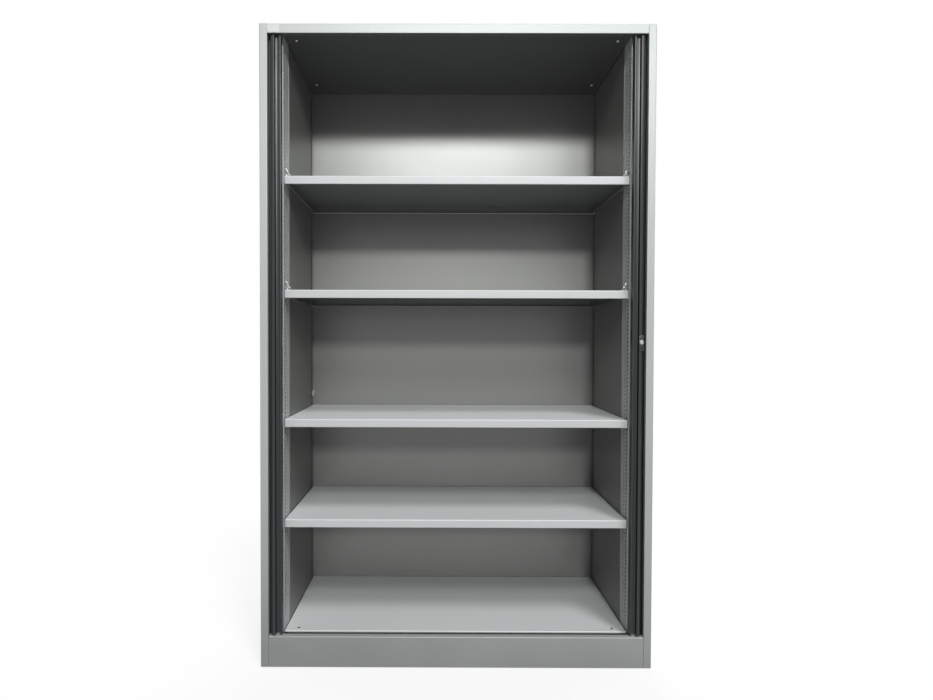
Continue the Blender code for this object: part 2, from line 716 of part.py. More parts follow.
def glide_cap(side, sign, level):
    """Plate on the end of the lead stile with a tongue that runs in the front track."""
    if level == "bottom":
        plate = (LEAD_BOTTOM - FIT_GAP, LEAD_BOTTOM - FIT_GAP - CAP_PLATE)
        tip = CURTAIN_BOTTOM
    else:
        plate = (LEAD_TOP + FIT_GAP, LEAD_TOP + FIT_GAP + CAP_PLATE)
        tip = CURTAIN_TOP
    half = CURTAIN_THICKNESS / 2
    front = GROOVE_Y
    section = [(front, plate[0]), (LEAD_BACK_Y, plate[0]), (LEAD_BACK_Y, plate[1]),
               (RUN_FRONT_Y + half, plate[1]), (RUN_FRONT_Y + half, tip),
               (RUN_FRONT_Y - half, tip), (RUN_FRONT_Y - half, plate[1]), (front, plate[1])]
    low = LEAD_IN_X + CAP_SIDE_INSET
    high = LEAD_OUT_X - CAP_TONGUE_INSET
    shape = extruded(section, low, high)
    for vert in shape.verts:
        vert.co = Vector((sign * vert.co.z, vert.co.x, vert.co.y))
    return object_from_bmesh(side + "_" + level + "_glide", shape, "glide_plastic")


def strike(lead):
    """Plate let into the left lead stile's edge, and the slot that takes the hook bolt."""
    edge = -LEAD_IN_X
    half_plate = STRIKE_WIDTH / 2
    slot_bottom = LOCK_HEIGHT - STRIKE_BELOW_AXIS
    slot_top = LOCK_HEIGHT + STRIKE_ABOVE_AXIS
    low_z = slot_bottom - STRIKE_BORDER
    high_z = slot_top + STRIKE_BORDER
    seat = edge - SHEET - FIT_GAP
    box_cut(lead, "strike_seat", (seat - FIT_GAP, HOOK_Y - half_plate, low_z),
            (edge + CUT_OVERRUN, HOOK_Y + half_plate, high_z))
    half_slot = HOOK_SLOT_DEPTH / 2
    slot_low = (edge - STRIKE_REACH, HOOK_Y - half_slot, slot_bottom)
    slot_high = (edge + CUT_OVERRUN, HOOK_Y + half_slot, slot_top)
    box_cut(lead, "strike_pocket", slot_low, slot_high)
    plate = box("strike_plate", (seat, HOOK_Y - half_plate + FIT_GAP, low_z + FIT_GAP),
                (edge - FIT_GAP, HOOK_Y + half_plate - FIT_GAP, high_z - FIT_GAP), "lock_chrome")
    box_cut(plate, "strike_slot", slot_low, slot_high)
    return [plate]


def lock(lead):
    """Housing on the face, key barrel through it, and the hook bolt in its pocket."""
    seat_y = LEAD_FRONT_Y + HOUSING_SEAT
    low_z = LOCK_HEIGHT - HOUSING_BELOW_AXIS
    high_z = low_z + HOUSING_HEIGHT
    half = HOUSING_WIDTH / 2
    box_cut(lead, "housing_seat",
            (BARREL_X - half - FIT_GAP, FRONT - CUT_OVERRUN, low_z - FIT_GAP),
            (BARREL_X + half + FIT_GAP, seat_y, high_z + FIT_GAP))
    bore = bmesh.new()
    bore_length = HOOK_SLOT_FRONT - FRONT + 2 * CUT_OVERRUN
    bore_middle = (BARREL_X, (HOOK_SLOT_FRONT + FRONT) / 2, LOCK_HEIGHT)
    disc_shape(bore, bore_middle, BARREL_RADIUS + FIT_GAP, bore_length, BARREL_SIDES, ALONG_Y)
    cut(lead, "barrel_bore", bore)
    pocket_top = LOCK_HEIGHT + HOOK_LENGTH + HOOK_PLAY
    box_cut(lead, "hook_pocket",
            (LEAD_IN_X - CUT_OVERRUN, HOOK_SLOT_FRONT, LOCK_HEIGHT - HOOK_WIDTH / 2 - HOOK_PLAY),
            (BARREL_X + HOOK_WIDTH / 2 + HOOK_PLAY, HOOK_SLOT_BACK, pocket_top))

    housing = box("lock_housing", (BARREL_X - half, LEAD_FRONT_Y - HOUSING_PROUD, low_z),
                  (BARREL_X + half, seat_y - FIT_GAP, high_z), "lock_housing")
    bevel = housing.modifiers.new("soft_edges", "BEVEL")
    bevel.width = HOUSING_BEVEL
    bevel.segments = 2
    hole = bmesh.new()
    disc_shape(hole, bore_middle, BARREL_RADIUS + FIT_GAP, bore_length, BARREL_SIDES, ALONG_Y)
    cut(housing, "housing_bore", hole)

    barrel_front = LEAD_FRONT_Y - HOUSING_PROUD - BARREL_PROUD
    barrel_rear = HOOK_Y - HOOK_THICKNESS / 2 - FIT_GAP
    shape = bmesh.new()
    middle = (BARREL_X, (barrel_front + barrel_rear) / 2, LOCK_HEIGHT)
    disc_shape(shape, middle, BARREL_RADIUS, barrel_rear - barrel_front, BARREL_SIDES, ALONG_Y)
    barrel = object_from_bmesh("lock_barrel", shape, "lock_chrome")
    barrel.data.shade_smooth()
    barrel.data.set_sharp_from_angle(angle=math.radians(30))
    box_cut(barrel, "keyway",
            (BARREL_X - KEYWAY_WIDTH / 2, barrel_front - CUT_OVERRUN, LOCK_HEIGHT - KEYWAY_HEIGHT / 2),
            (BARREL_X + KEYWAY_WIDTH / 2, barrel_front + KEYWAY_DEPTH, LOCK_HEIGHT + KEYWAY_HEIGHT / 2))

    half_hook = HOOK_WIDTH / 2
    shoulder = HOOK_LENGTH - half_hook
    outline = arc_points((0, 0), half_hook, 180, 360, CORNER_STEPS)
    outline += [(half_hook, shoulder), (0, HOOK_LENGTH), (-half_hook, HOOK_LENGTH),
                (-half_hook - HOOK_BARB, shoulder), (-half_hook, shoulder)]
    hook_shape = extruded(outline, -HOOK_THICKNESS / 2, HOOK_THICKNESS / 2)
    for vert in hook_shape.verts:
        vert.co = Vector((BARREL_X + vert.co.x, HOOK_Y + vert.co.z, LOCK_HEIGHT + vert.co.y))
    hook = object_from_bmesh("lock_hook", hook_shape, "zinc_wire")
    return [housing, gather("lock_axis", (BARREL_X, HOOK_Y, LOCK_HEIGHT), [barrel, hook])]


def doors():
    for side, sign in SIDES.items():
        lead = lead_stile(side, sign)
        fitted = strike(lead) if side == "left" else lock(lead)
        glides = [glide_cap(side, sign, level) for level in ("bottom", "top")]
        pieces = [lead, curtain(side, sign)] + fitted + glides
        gather(side + "_door_run", (sign * LEAD_IN_X, RUN_FRONT_Y, BED), pieces)


# Levelling feet

def feet():
    """Turned foot: a round pad, a neck and the threaded stem up through the base floor."""
    pad_top = min(FOOT_PAD_HEIGHT, FLOOR_TOP - PAD_TOP_GAP)
    stem_top = BASE_PAN_TOP - SHEET - FOOT_STEM_TOP_GAP
    profile = ((FOOT_PAD_RADIUS, 0), (FOOT_PAD_RADIUS, FOOT_PAD_EDGE), (FOOT_NECK_RADIUS, pad_top),
               (FOOT_STEM_RADIUS, pad_top), (FOOT_STEM_RADIUS, stem_top))
    for place, x, y in foot_places():
        shape = bmesh.new()
        rings = []
        for radius, height in profile:
            ring = []
            for side in range(FOOT_SIDES):
                angle = 2 * math.pi * side / FOOT_SIDES
                ring.append(shape.verts.new((radius * math.cos(angle), radius * math.sin(angle), height)))
            rings.append(ring)
        for ring, above in zip(rings, rings[1:]):
            for side in range(FOOT_SIDES):
                after = (side + 1) % FOOT_SIDES
                shape.faces.new((ring[side], ring[after], above[after], above[side]))
        shape.faces.new(rings[0])
        shape.faces.new(rings[-1])
        foot = object_from_bmesh(place + "_foot", shape, "foot_plastic")
        foot.location = (x, y, 0)


clear_scene()
for side_name, side_sign in SIDES.items():
    side_panel(side_name, side_sign)
    uprights_and_liners(side_name, side_sign)
front_rails()
lid()
floors_and_backs()
tracks()
shelves()
clips()
doors()
feet()
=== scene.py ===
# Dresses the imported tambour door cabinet: folded sheet, shutters, clips, lock and feet, their finishes,
# the camera and the light. X is to the right, Y to the back and Z up, in metres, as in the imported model.

import itertools
import math

import bpy
import numpy as np
from mathutils import Matrix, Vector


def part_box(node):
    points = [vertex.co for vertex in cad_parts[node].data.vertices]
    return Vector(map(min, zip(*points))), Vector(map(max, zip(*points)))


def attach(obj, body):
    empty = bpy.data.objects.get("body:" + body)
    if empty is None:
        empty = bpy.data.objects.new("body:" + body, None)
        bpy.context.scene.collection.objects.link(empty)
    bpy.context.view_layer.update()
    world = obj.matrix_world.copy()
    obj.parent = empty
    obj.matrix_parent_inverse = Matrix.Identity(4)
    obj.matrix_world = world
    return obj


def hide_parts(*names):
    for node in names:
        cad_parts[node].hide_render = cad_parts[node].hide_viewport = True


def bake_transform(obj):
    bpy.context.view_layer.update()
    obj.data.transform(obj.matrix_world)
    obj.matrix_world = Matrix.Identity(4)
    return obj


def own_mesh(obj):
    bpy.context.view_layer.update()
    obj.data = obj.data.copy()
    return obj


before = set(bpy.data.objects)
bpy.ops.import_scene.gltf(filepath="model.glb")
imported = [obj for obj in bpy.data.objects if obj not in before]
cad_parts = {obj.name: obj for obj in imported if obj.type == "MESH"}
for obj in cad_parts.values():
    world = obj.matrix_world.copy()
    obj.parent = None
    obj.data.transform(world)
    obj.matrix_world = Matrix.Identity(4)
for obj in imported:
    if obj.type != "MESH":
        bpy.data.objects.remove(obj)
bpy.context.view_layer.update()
print("packed model loaded:", len(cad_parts), "nodes")

sides = {"left": -1, "right": 1}


class Values(dict):
    """Measures of a piece or a finish, read by name."""

    __getattr__ = dict.__getitem__


# Lines in a plane

def unit(vectors):
    return vectors / np.linalg.norm(vectors, axis=-1, keepdims=True)


def roundedLine(corners, radii, steps=5, guard=0.0006):
    """Line through corners, each inner one rounded. The arc of radius r starts and ends r / tan(half the
    inner angle) from its corner, and a guard point on each straight keeps the flats' shading flat."""
    corners = np.array(corners, float)
    parts = [corners[:1]]
    for corner, before, after, radius in zip(corners[1:-1], corners[:-2], corners[2:], radii):
        inward = unit(before - corner)
        outward = unit(after - corner)
        half = math.acos(max(-1.0, min(1.0, float(inward @ outward)))) / 2
        reach = radius / math.tan(half)
        centre = corner + unit(inward + outward) * radius / math.sin(half)
        start = corner + inward * reach
        end = corner + outward * reach
        turn = math.pi - 2 * half
        share = np.linspace(0, 1, steps + 1)[:, None]
        arc = (start - centre) * np.sin((1 - share) * turn) + (end - centre) * np.sin(share * turn)
        parts += [start[None] + inward * guard, centre + arc / math.sin(turn), end[None] + outward * guard]
    return np.concatenate(parts + [corners[-1:]])


def offsetLine(line, distance):
    """Line moved to its left: each point goes along the mean of its two segments' normals, by the
    distance over the cosine of half their turn."""
    step = unit(np.diff(line, axis=0))
    normal = np.stack([-step[:, 1], step[:, 0]], 1)
    before = np.vstack([normal[:1], normal])
    after = np.vstack([normal, normal[-1:]])
    mean = unit(before + after)
    return line + mean * distance / (mean * before).sum(1, keepdims=True)


def arcLine(centre, radii, start, end, steps):
    """Centre plus the two radii times the cosine and sine of an angle that runs from start to end."""
    angle = np.radians(np.linspace(start, end, steps + 1))
    return np.array(centre) + np.stack([np.cos(angle), np.sin(angle)], 1) * np.array(radii)


def smoothLine(corners, perSpan):
    """Smooth curve through corners: each span is a cubic whose slope at either end is half the way
    between the corners beside it."""
    corners = np.array(corners, float)
    padded = np.vstack([2 * corners[0] - corners[1], corners, 2 * corners[-1] - corners[-2]])
    share = np.linspace(0, 1, perSpan, endpoint=False)[None, :, None]
    a, b, c, d = (padded[k:len(padded) - 3 + k, None] for k in range(4))
    curve = b + share * (c - a) / 2 + share ** 2 * (a - 2.5 * b + 2 * c - d / 2)
    curve = curve + share ** 3 * ((d - a) / 2 + 1.5 * (b - c))
    return np.vstack([curve.reshape(-1, corners.shape[1]), corners[-1:]])


# Solids: points as one array, faces as arrays of equal polygons

def shell(rings):
    """Quads between neighbouring rings, each ring's last point joined to its first, with a flat face
    on the first and last ring. Point k of ring j is row j * n + k."""
    rings = np.asarray(rings, float)
    count, size = rings.shape[:2]
    index = np.arange(count * size).reshape(count, size)
    after = np.roll(index, -1, axis=1)
    quads = np.stack([index[:-1], after[:-1], after[1:], index[1:]], -1).reshape(-1, 4)
    return rings.reshape(-1, 3), [quads, index[:1, ::-1], index[-1:]]


def sheetSolid(front, back, low, high, axis="z"):
    """Two matched lines carried along an axis: a skin on each, and quads that close ends and edges."""
    count = len(front)
    flat = np.vstack([front, front, back, back])
    along = np.repeat([low, high, low, high], count)
    order = {"z": (flat[:, 0], flat[:, 1], along), "x": (along, flat[:, 0], flat[:, 1])}
    index = np.arange(4 * count).reshape(4, count)
    near, nearUp, far, farUp = index
    here, there = slice(0, count - 1), slice(1, count)
    quads = [
        (near[here], near[there], nearUp[there], nearUp[here]),
        (far[there], far[here], farUp[here], farUp[there]),
        (near[there], near[here], far[here], far[there]),
        (nearUp[here], nearUp[there], farUp[there], farUp[here]),
        (near[:1], nearUp[:1], farUp[:1], far[:1]),
        (near[-1:], far[-1:], farUp[-1:], nearUp[-1:]),
    ]
    return np.stack(order[axis], 1), [np.concatenate([np.stack(four, 1) for four in quads])]


def foldedSheet(line, thickness, low, high, axis="z"):
    return sheetSolid(line, offsetLine(line, thickness), low, high, axis)


def prism(outline, low, high):
    """Closed outline in plan, carried up."""
    lower = np.column_stack([outline, np.full(len(outline), low)])
    return shell([lower, lower + [0, 0, high - low]])


def lathe(profile, centre, steps, axis="z"):
    """Profile of (radius, height) turned about an axis through centre."""
    angle = np.linspace(0, 2 * math.pi, steps, endpoint=False)
    profile = np.asarray(profile, float)
    across = profile[:, :1] * np.cos(angle)
    aside = profile[:, :1] * np.sin(angle)
    height = np.repeat(profile[:, 1:], steps, axis=1)
    order = {"z": (across, aside, height), "y": (across, height, aside)}
    return shell(np.stack(order[axis], -1) + np.array(centre))


def tube(line, radius, steps):
    """Round section carried along a space curve: its two side vectors are the curve's direction crossed
    with a fixed vector, and with that again."""
    direction = unit(np.gradient(line, axis=0))
    reference = np.array([0.05, 1.0, 0.02])
    aside = unit(np.cross(direction, reference))
    upward = np.cross(aside, direction)
    angle = np.linspace(0, 2 * math.pi, steps, endpoint=False)[None, :, None]
    ring = aside[:, None] * np.cos(angle) + upward[:, None] * np.sin(angle)
    return shell(line[:, None] + ring * radius)


def roundedBlock(half, radius, profile, centre, steps=6):
    """Rounded rectangle in two directions with a profile of (inset, height) in the third: each ring is
    the rectangle shrunk by its inset, its corner radius shrunk alike but never under a tenth."""
    inset, height = np.asarray(profile, float).T
    corner = np.maximum(radius - inset, radius / 10)
    angle = np.radians(np.linspace(0, 90, steps + 1))
    quarter = np.stack([np.cos(angle), np.sin(angle)], 1)
    turned = [quarter, quarter[:, ::-1] * [-1, 1], -quarter, quarter[:, ::-1] * [1, -1]]
    signs = np.repeat([[1, 1], [-1, 1], [-1, -1], [1, -1]], steps + 1, axis=0)
    middle = np.array(half) - inset[:, None] - corner[:, None]
    flat = signs * middle[:, None] + np.concatenate(turned) * corner[:, None, None]
    return np.dstack([flat, np.repeat(height[:, None], flat.shape[1], 1)]) + np.array(centre)


def acrossFront(solid, y):
    """Solid built upwards in X and Z, its height turned to face the front at y."""
    points, faces = solid
    return np.column_stack([points[:, 0], y - points[:, 2], points[:, 1]]), faces


def boxSolid(low, high):
    corners = np.array([(low[0], low[1]), (high[0], low[1]), (high[0], high[1]), (low[0], high[1])])
    return prism(corners, low[2], high[2])


def boxRings(low, high, axes, radius, profile):
    """Rounded block over a box's middle in two directions."""
    low, high = (np.array([getattr(corner, axis) for axis in axes]) for corner in (low, high))
    return roundedBlock((high - low) / 2, radius, profile, (*(low + high) / 2, 0))


def slottedSheet(line, thickness, rows, slots):
    """Folded sheet as a grid of the line's points by rows. A slot takes four by four cells: a ring of
    quads from their border to the slot's edge on each skin, and a wall between the two. The edge is
    where |u / a|^p + |v / b|^p = 1 on the way from the slot's middle to each border point."""
    back = offsetLine(line, thickness)
    wide, tall = len(line), len(rows)
    skins = [np.dstack([np.tile(skin, (tall, 1, 1)), np.repeat(rows[:, None], wide, 1)])
             for skin in (line, back)]
    index = np.arange(2 * tall * wide).reshape(2, tall, wide)
    kept = np.ones((tall - 1, wide - 1), bool)
    cell = np.arange(4)
    for slot in slots:
        kept[slot.rows[:, None, None] + cell[:, None], slot.column + cell] = False
    corners = index[:, :-1, :-1], index[:, :-1, 1:], index[:, 1:, 1:], index[:, 1:, :-1]
    near, far = np.stack(corners, -1)[:, kept]
    rim = np.concatenate([index[:, 0, :], index[:, 1:, -1], index[:, -1, -2::-1], index[:, -2:0:-1, 0]], 1)
    after = np.roll(rim, -1, axis=1)
    faces = [near, far[:, [0, 3, 2, 1]], np.stack([rim[0], rim[1], after[1], after[0]], 1)]
    points = [skin.reshape(-1, 3) for skin in skins]
    total = 2 * tall * wide
    border = np.array([(0, 0), (0, 1), (0, 2), (0, 3), (0, 4), (1, 4), (2, 4), (3, 4), (4, 4),
                       (4, 3), (4, 2), (4, 1), (4, 0), (3, 0), (2, 0), (1, 0)])
    for slot in slots:
        ring = index[:, slot.rows[:, None] + border[:, 0], slot.column + border[:, 1]]
        middle = np.stack([skins[k][slot.rows + 2, slot.column + 2] for k in (0, 1)])
        away = np.stack([points[k][ring[k] - k * tall * wide] for k in (0, 1)]) - middle[:, :, None]
        across, upward = slot.size
        reach = (np.abs(away[..., 1] / across) ** slot.square
                 + np.abs(away[..., 2] / upward) ** slot.square) ** (-1 / slot.square)
        edge = middle[:, :, None] + away * reach[..., None]
        count = edge.shape[1] * len(border)
        mark = total + np.arange(2 * count).reshape(2, -1, len(border))
        total += 2 * count
        nextRing, nextMark = np.roll(ring, -1, -1), np.roll(mark, -1, -1)
        quads = [(ring[0], nextRing[0], nextMark[0], mark[0]), (ring[1], mark[1], nextMark[1], nextRing[1]),
                 (mark[0], nextMark[0], nextMark[1], mark[1])]
        faces += [np.stack(four, -1).reshape(-1, 4) for four in quads]
        points.append(edge.reshape(-1, 3))
    used, faces = np.unique(np.concatenate(faces), return_inverse=True)
    return np.concatenate(points)[used], [faces.reshape(-1, 4)]


def mirrored(solid, sign):
    """Solid made for the right side, moved to the side whose sign is given."""
    points, faces = solid
    return points * [sign, 1, 1], faces


def facesOutward(points, faces):
    """Every face turned round if the volume is below zero: the sum of each fan triangle's triple product."""
    volume = 0.0
    for group in faces:
        corner = points[np.asarray(group)]
        fan = np.cross(corner[:, 1:-1], corner[:, 2:])
        volume += (corner[:, :1] * fan).sum()
    return faces if volume > 0 else [np.asarray(group)[:, ::-1] for group in faces]


def meshFrom(name, solid):
    points, faces = solid
    mesh = bpy.data.meshes.new(name)
    faces = facesOutward(points, faces)
    mesh.from_pydata(points.tolist(), [], [face for group in faces for face in group.tolist()])
    mesh.update()
    return mesh


def placed(name, data):
    """A new object in the scene."""
    made = bpy.data.objects.new(name, data)
    bpy.context.scene.collection.objects.link(made)
    return made


def setUp(made, at, aside, upward, back):
    """An object's place, and the directions of its X, Y and Z."""
    turn = Matrix(np.column_stack([aside, upward, back]).tolist()).to_4x4()
    made.matrix_world = Matrix.Translation(at) @ turn


def piece(name, solid, finish, body, stands=(), sharp=32, cuts=()):
    """One shown piece: its mesh, the cuts in it, its finish, the body it rides on and what it stands for."""
    shown = placed(name, meshFrom(name, solid))
    for number, cutSolid in enumerate(cuts):
        cutter = placed(name + "Cut" + str(number), meshFrom(name + "Cut", cutSolid))
        carve = shown.modifiers.new("carve", "BOOLEAN")
        carve.operation, carve.solver, carve.object = "DIFFERENCE", "EXACT", cutter
        bpy.context.view_layer.update()
        carved = bpy.data.meshes.new_from_object(shown.evaluated_get(bpy.context.evaluated_depsgraph_get()))
        shown.modifiers.clear()
        shown.data = carved
        shown.data.name = name
        bpy.data.objects.remove(cutter)
    shown.data.shade_smooth()
    shown.data.set_sharp_from_angle(angle=math.radians(sharp))
    shown.data.materials.clear()
    shown.data.materials.append(finish)
    if body:
        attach(shown, body)
    if stands:
        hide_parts(*stands)
    return shown


# Shader sums and nodes

class Value:
    """A socket's value in a sum: each operator adds one Math node."""

    def __init__(self, shader, socket):
        self.shader = shader
        self.socket = socket


def mathOperator(operation, swapped):
    def operator(value, other):
        first, second = (other, value) if swapped else (value, other)
        return value.shader.node("Math", {"operation": operation}, {0: first, 1: second})

    return operator


for word, operation in (("add", "ADD"), ("sub", "SUBTRACT"), ("mul", "MULTIPLY")):
    setattr(Value, "__" + word + "__", mathOperator(operation, False))
    setattr(Value, "__r" + word + "__", mathOperator(operation, True))


class Finish:
    """The nodes of a material or the world: node() adds any node, its settings first and then the values
    or links of its sockets."""

    def __init__(self, name, kind="materials", main="Principled BSDF"):
        self.owner = getattr(bpy.data, kind).new(name)
        self.owner.use_nodes = True
        self.tree = self.owner.node_tree
        self.main = self.tree.nodes[main]

    def node(self, kind, settings=None, inputs=None, output=0):
        made = self.tree.nodes.new("ShaderNode" + kind)
        for key, value in (settings or {}).items():
            setattr(made, key, value)
        self.feed(made, inputs or {})
        return Value(self, made.outputs[output])

    def feed(self, made, inputs):
        for key, value in inputs.items():
            if isinstance(value, Value):
                self.tree.links.new(value.socket, made.inputs[key])
            else:
                made.inputs[key].default_value = value

    def noise(self, place, scale, detail=2.0, rough=0.5, distortion=0.0):
        return self.node("TexNoise", {}, {"Vector": place, "Scale": scale, "Detail": detail,
                                          "Roughness": rough, "Distortion": distortion})

    def place(self, stretch=(1, 1, 1)):
        here = self.node("TexCoord", output="Object")
        return self.node("Mapping", {}, {"Vector": here, "Scale": stretch})

    def layer(self, name):
        return self.node("Attribute", {"attribute_name": name}, output="Fac")

    def mask(self, value, low, high, least=0.0):
        """The least value under low, 1 over high, straight in between."""
        return self.node("MapRange", {"clamp": True}, {"Value": value, 1: low, 2: high, 3: least, 4: 1.0})

    def seen(self, least=0.0):
        """1 to the camera, to gloss and through glass, and the least value to any other ray."""
        rays = [self.node("LightPath", output=ray) for ray in ("Is Camera Ray", "Is Glossy Ray", "Is Transmission Ray")]
        return self.mask(rays[0] + rays[1] + rays[2], 0.0, 1.0, least)

    def mixed(self, share, first, second):
        return self.node("Mix", {"data_type": "RGBA"}, {0: share, 6: first, 7: second}, output=2)

    def varied(self, share, colour, spread):
        """Colour times 1 - spread where the share is 0, and times 1 + spread where it is 1."""
        return self.mixed(share, shade(colour, 1 - spread), shade(colour, 1 + spread))

    def bump(self, height, distance, strength=1.0, normal=None):
        inputs = {"Height": height, "Distance": distance, "Strength": strength}
        if normal:
            inputs["Normal"] = normal
        return self.node("Bump", {}, inputs)

    def surface(self, colour, roughness, normal, metallic=0.0):
        self.feed(self.main, {"Base Color": colour, "Roughness": roughness, "Normal": normal, "Metallic": metallic})
        return self.owner


def shade(colour, share):
    """Colour times a share, with a full fourth channel."""
    return tuple(channel * share for channel in colour) + (1.0,)


# One silver paint in lit and shaded copies: the inner and ceiling paints are darker as painted shade, and the upright
# and shelf paints lighter as painted light.
paintLooks = {
    "outerPaint": Values(colour=(0.385, 0.408, 0.397), roughness=0.47, metallic=0.20),
    "shadedInnerPaint": Values(colour=(0.198, 0.203, 0.194), roughness=0.37, metallic=0.35),
    "litUprightPaint": Values(colour=(0.560, 0.580, 0.575), roughness=0.42, metallic=0.22),
    "shadedCeilingPaint": Values(colour=(0.080, 0.086, 0.081), roughness=0.50, metallic=0.10),
    "litShelfPaint": Values(colour=(0.625, 0.640, 0.646), roughness=0.50, metallic=0.04),
}
# Some of these settings paint shade: the paint darkens towards the floor, and under or inside things.
coat = Values(
    flakeScale=1400.0, flakeSpread=0.10, flakeShare=0.7, cloudScale=2.3, waveDepth=0.0006, peelScale=520.0,
    peelDepth=0.00002, scuffScale=26.0, scuffShare=0.10, scuffShade=0.55, streakMask=(0.66, 0.74),
    cloudMask=(0.45, 0.70), cloudRough=0.10, scuffRough=0.12, dustHeight=0.90, dustSpread=0.3, dustShare=0.62,
    dustShade=0.35, thinShade=0.25, lipShare=0.20)


def paintFinish(name):
    """Silver powder coat: colour is the base with fine metal flake and a slow cloud, less where it is
    scuffed. On the outside, painted shade darkens it towards the floor by the square of the depth under
    a height, except where a piece is marked clear of it. Under the rail and inside and under a shelf,
    painted shade darkens it too. Its bump is the fine peel of the powder over the sheet's slow waves."""
    look = paintLooks[name]
    base = look.colour
    shader = Finish(name)
    place = shader.place()
    flake = shader.noise(place, coat.flakeScale, 1.0, 0.4)
    cloud = shader.noise(place, coat.cloudScale, 3.0, 0.55)
    streak = shader.noise(shader.place((1, 1, 0.12)), coat.scuffScale, 5.0, 0.65, 0.4)
    scuff = shader.mask(streak, *coat.streakMask) * shader.mask(cloud, *coat.cloudMask)
    grain = flake * coat.flakeShare + cloud * (1 - coat.flakeShare)
    colour = shader.varied(grain, base, coat.flakeSpread)
    colour = shader.mixed(scuff * coat.scuffShare, colour, shade(base, coat.scuffShade))
    # Painted shade: the outside darkens towards the floor, except on faces marked clear of it.
    if name == "outerPaint":
        height = shader.node("SeparateXYZ", {}, {0: place}, output=2)
        lowness = 1 - shader.mask(height + (cloud - 0.5) * coat.dustSpread, 0.0, coat.dustHeight)
        floorShade = lowness * lowness * coat.dustShare * (1 - shader.layer("noFloorShade"))
        colour = shader.mixed(floorShade, colour, shade(base, coat.dustShade))
    # Painted shade where a piece is marked for it: under the rail and inside and under shelves.
    if name in ("outerPaint", "litShelfPaint"):
        colour = shader.mixed(shader.layer("underShade"), colour, shade(base, coat.thinShade))
    peel = shader.noise(place, coat.peelScale)
    wave = shader.bump(cloud, coat.waveDepth)
    roughness = look.roughness + (cloud - 0.5) * coat.cloudRough + scuff * coat.scuffRough
    return shader.surface(colour, roughness, shader.bump(peel, coat.peelDepth, 1.0, wave), look.metallic)


profileLook = Values(
    colour=(0.019, 0.021, 0.023), spread=0.15, roughness=0.34, metallic=0.2, lineScale=900.0, lineDepth=0.00001,
    patchScale=24.0, patchRough=0.18, rub=(0.10, 0.103, 0.105), rubMask=(0.60, 0.78), rubShare=0.35)


def profileFinish(look):
    """Charcoal coat on the drawn lead stile: fine lines along its length and rubbed, paler patches."""
    shader = Finish("charcoalProfile")
    lines = shader.noise(shader.place((1, 1, 0.01)), look.lineScale, 2.0, 0.6)
    patch = shader.noise(shader.place((1, 1, 0.2)), look.patchScale, 4.0, 0.6)
    rubbed = shader.mask(patch, *look.rubMask) * look.rubShare
    colour = shader.mixed(rubbed, shader.varied(lines, look.colour, look.spread), shade(look.rub, 1))
    return shader.surface(colour, look.roughness + (patch - 0.5) * look.patchRough,
                          shader.bump(lines, look.lineDepth, 0.6), look.metallic)


plasticLooks = {
    "curtainPlastic": Values(colour=(0.034, 0.036, 0.039), roughness=0.46, grainScale=700.0, depth=0.00003),
    "trackPlastic": Values(colour=(0.016, 0.016, 0.018), roughness=0.50, grainScale=500.0, depth=0.00003),
    "glidePlastic": Values(colour=(0.135, 0.135, 0.13), roughness=0.45, grainScale=600.0, depth=0.00002),
    "housingPlastic": Values(colour=(0.022, 0.022, 0.024), roughness=0.26, grainScale=900.0, depth=0.00001),
    "footPlastic": Values(colour=(0.026, 0.026, 0.028), roughness=0.58, grainScale=450.0, depth=0.00005),
    "labelPaper": Values(colour=(0.63, 0.64, 0.64), roughness=0.70, grainScale=900.0, depth=0.00001),
}
moulded = Values(mottleScale=30.0, spread=0.12, mottleRough=0.16)


def plasticFinish(name):
    """Moulded plastic or paper: a little mottling of colour and roughness over a fine moulded grain."""
    look = plasticLooks[name]
    shader = Finish(name)
    place = shader.place()
    mottle = shader.noise(place, moulded.mottleScale, 4.0, 0.6)
    grain = shader.noise(place, look.grainScale)
    return shader.surface(shader.varied(mottle, look.colour, moulded.spread),
                          look.roughness + (mottle - 0.5) * moulded.mottleRough, shader.bump(grain, look.depth))


metalLooks = {
    "zincWire": Values(colour=(0.56, 0.57, 0.58), roughness=0.30, stain=(0.32, 0.31, 0.29), metallic=1.0),
    "lockChrome": Values(colour=(0.46, 0.46, 0.47), roughness=0.24, stain=(0.34, 0.34, 0.34), metallic=1.0),
    # Zinc paler than the wire's: plated zinc with a painted glint, for the ceiling screws and the strike plate.
    "paleGlintZinc": Values(colour=(0.86, 0.86, 0.84), roughness=0.30, stain=(0.62, 0.61, 0.58), metallic=0.55),
}
plated = Values(cloudScale=160.0, stainMask=(0.56, 0.72), stainShare=0.6, stainRough=0.2, depth=0.00001)


def metalFinish(name):
    """Bright plated metal: cloudy roughness and a few duller, darker stains."""
    look = metalLooks[name]
    shader = Finish(name)
    cloud = shader.noise(shader.place(), plated.cloudScale, 4.0, 0.6)
    stain = shader.mask(cloud, *plated.stainMask)
    colour = shader.mixed(stain * plated.stainShare, shade(look.colour, 1), shade(look.stain, 1))
    return shader.surface(colour, look.roughness + stain * plated.stainRough,
                          shader.bump(cloud, plated.depth, 0.5), look.metallic)


outerPaint, shadedInnerPaint, litUprightPaint, shadedCeilingPaint, litShelfPaint = map(paintFinish, paintLooks)
curtainPlastic, trackPlastic, glidePlastic, housingPlastic, footPlastic, labelPaper = map(plasticFinish, plasticLooks)
zincWire, lockChrome, paleGlintZinc = map(metalFinish, metalLooks)
charcoal = profileFinish(profileLook)
print("finishes made")


# Camera: the photograph's place, 19.5 mm lens, level with the lock

cameraPlace = Values(
    at=(-0.063, -1.763, 1.003), yaw=-0.104, pitch=0.952, roll=0.152, focalPixels=506.0, axisPixel=435.2,
    imageWidth=933, sensor=36.0)


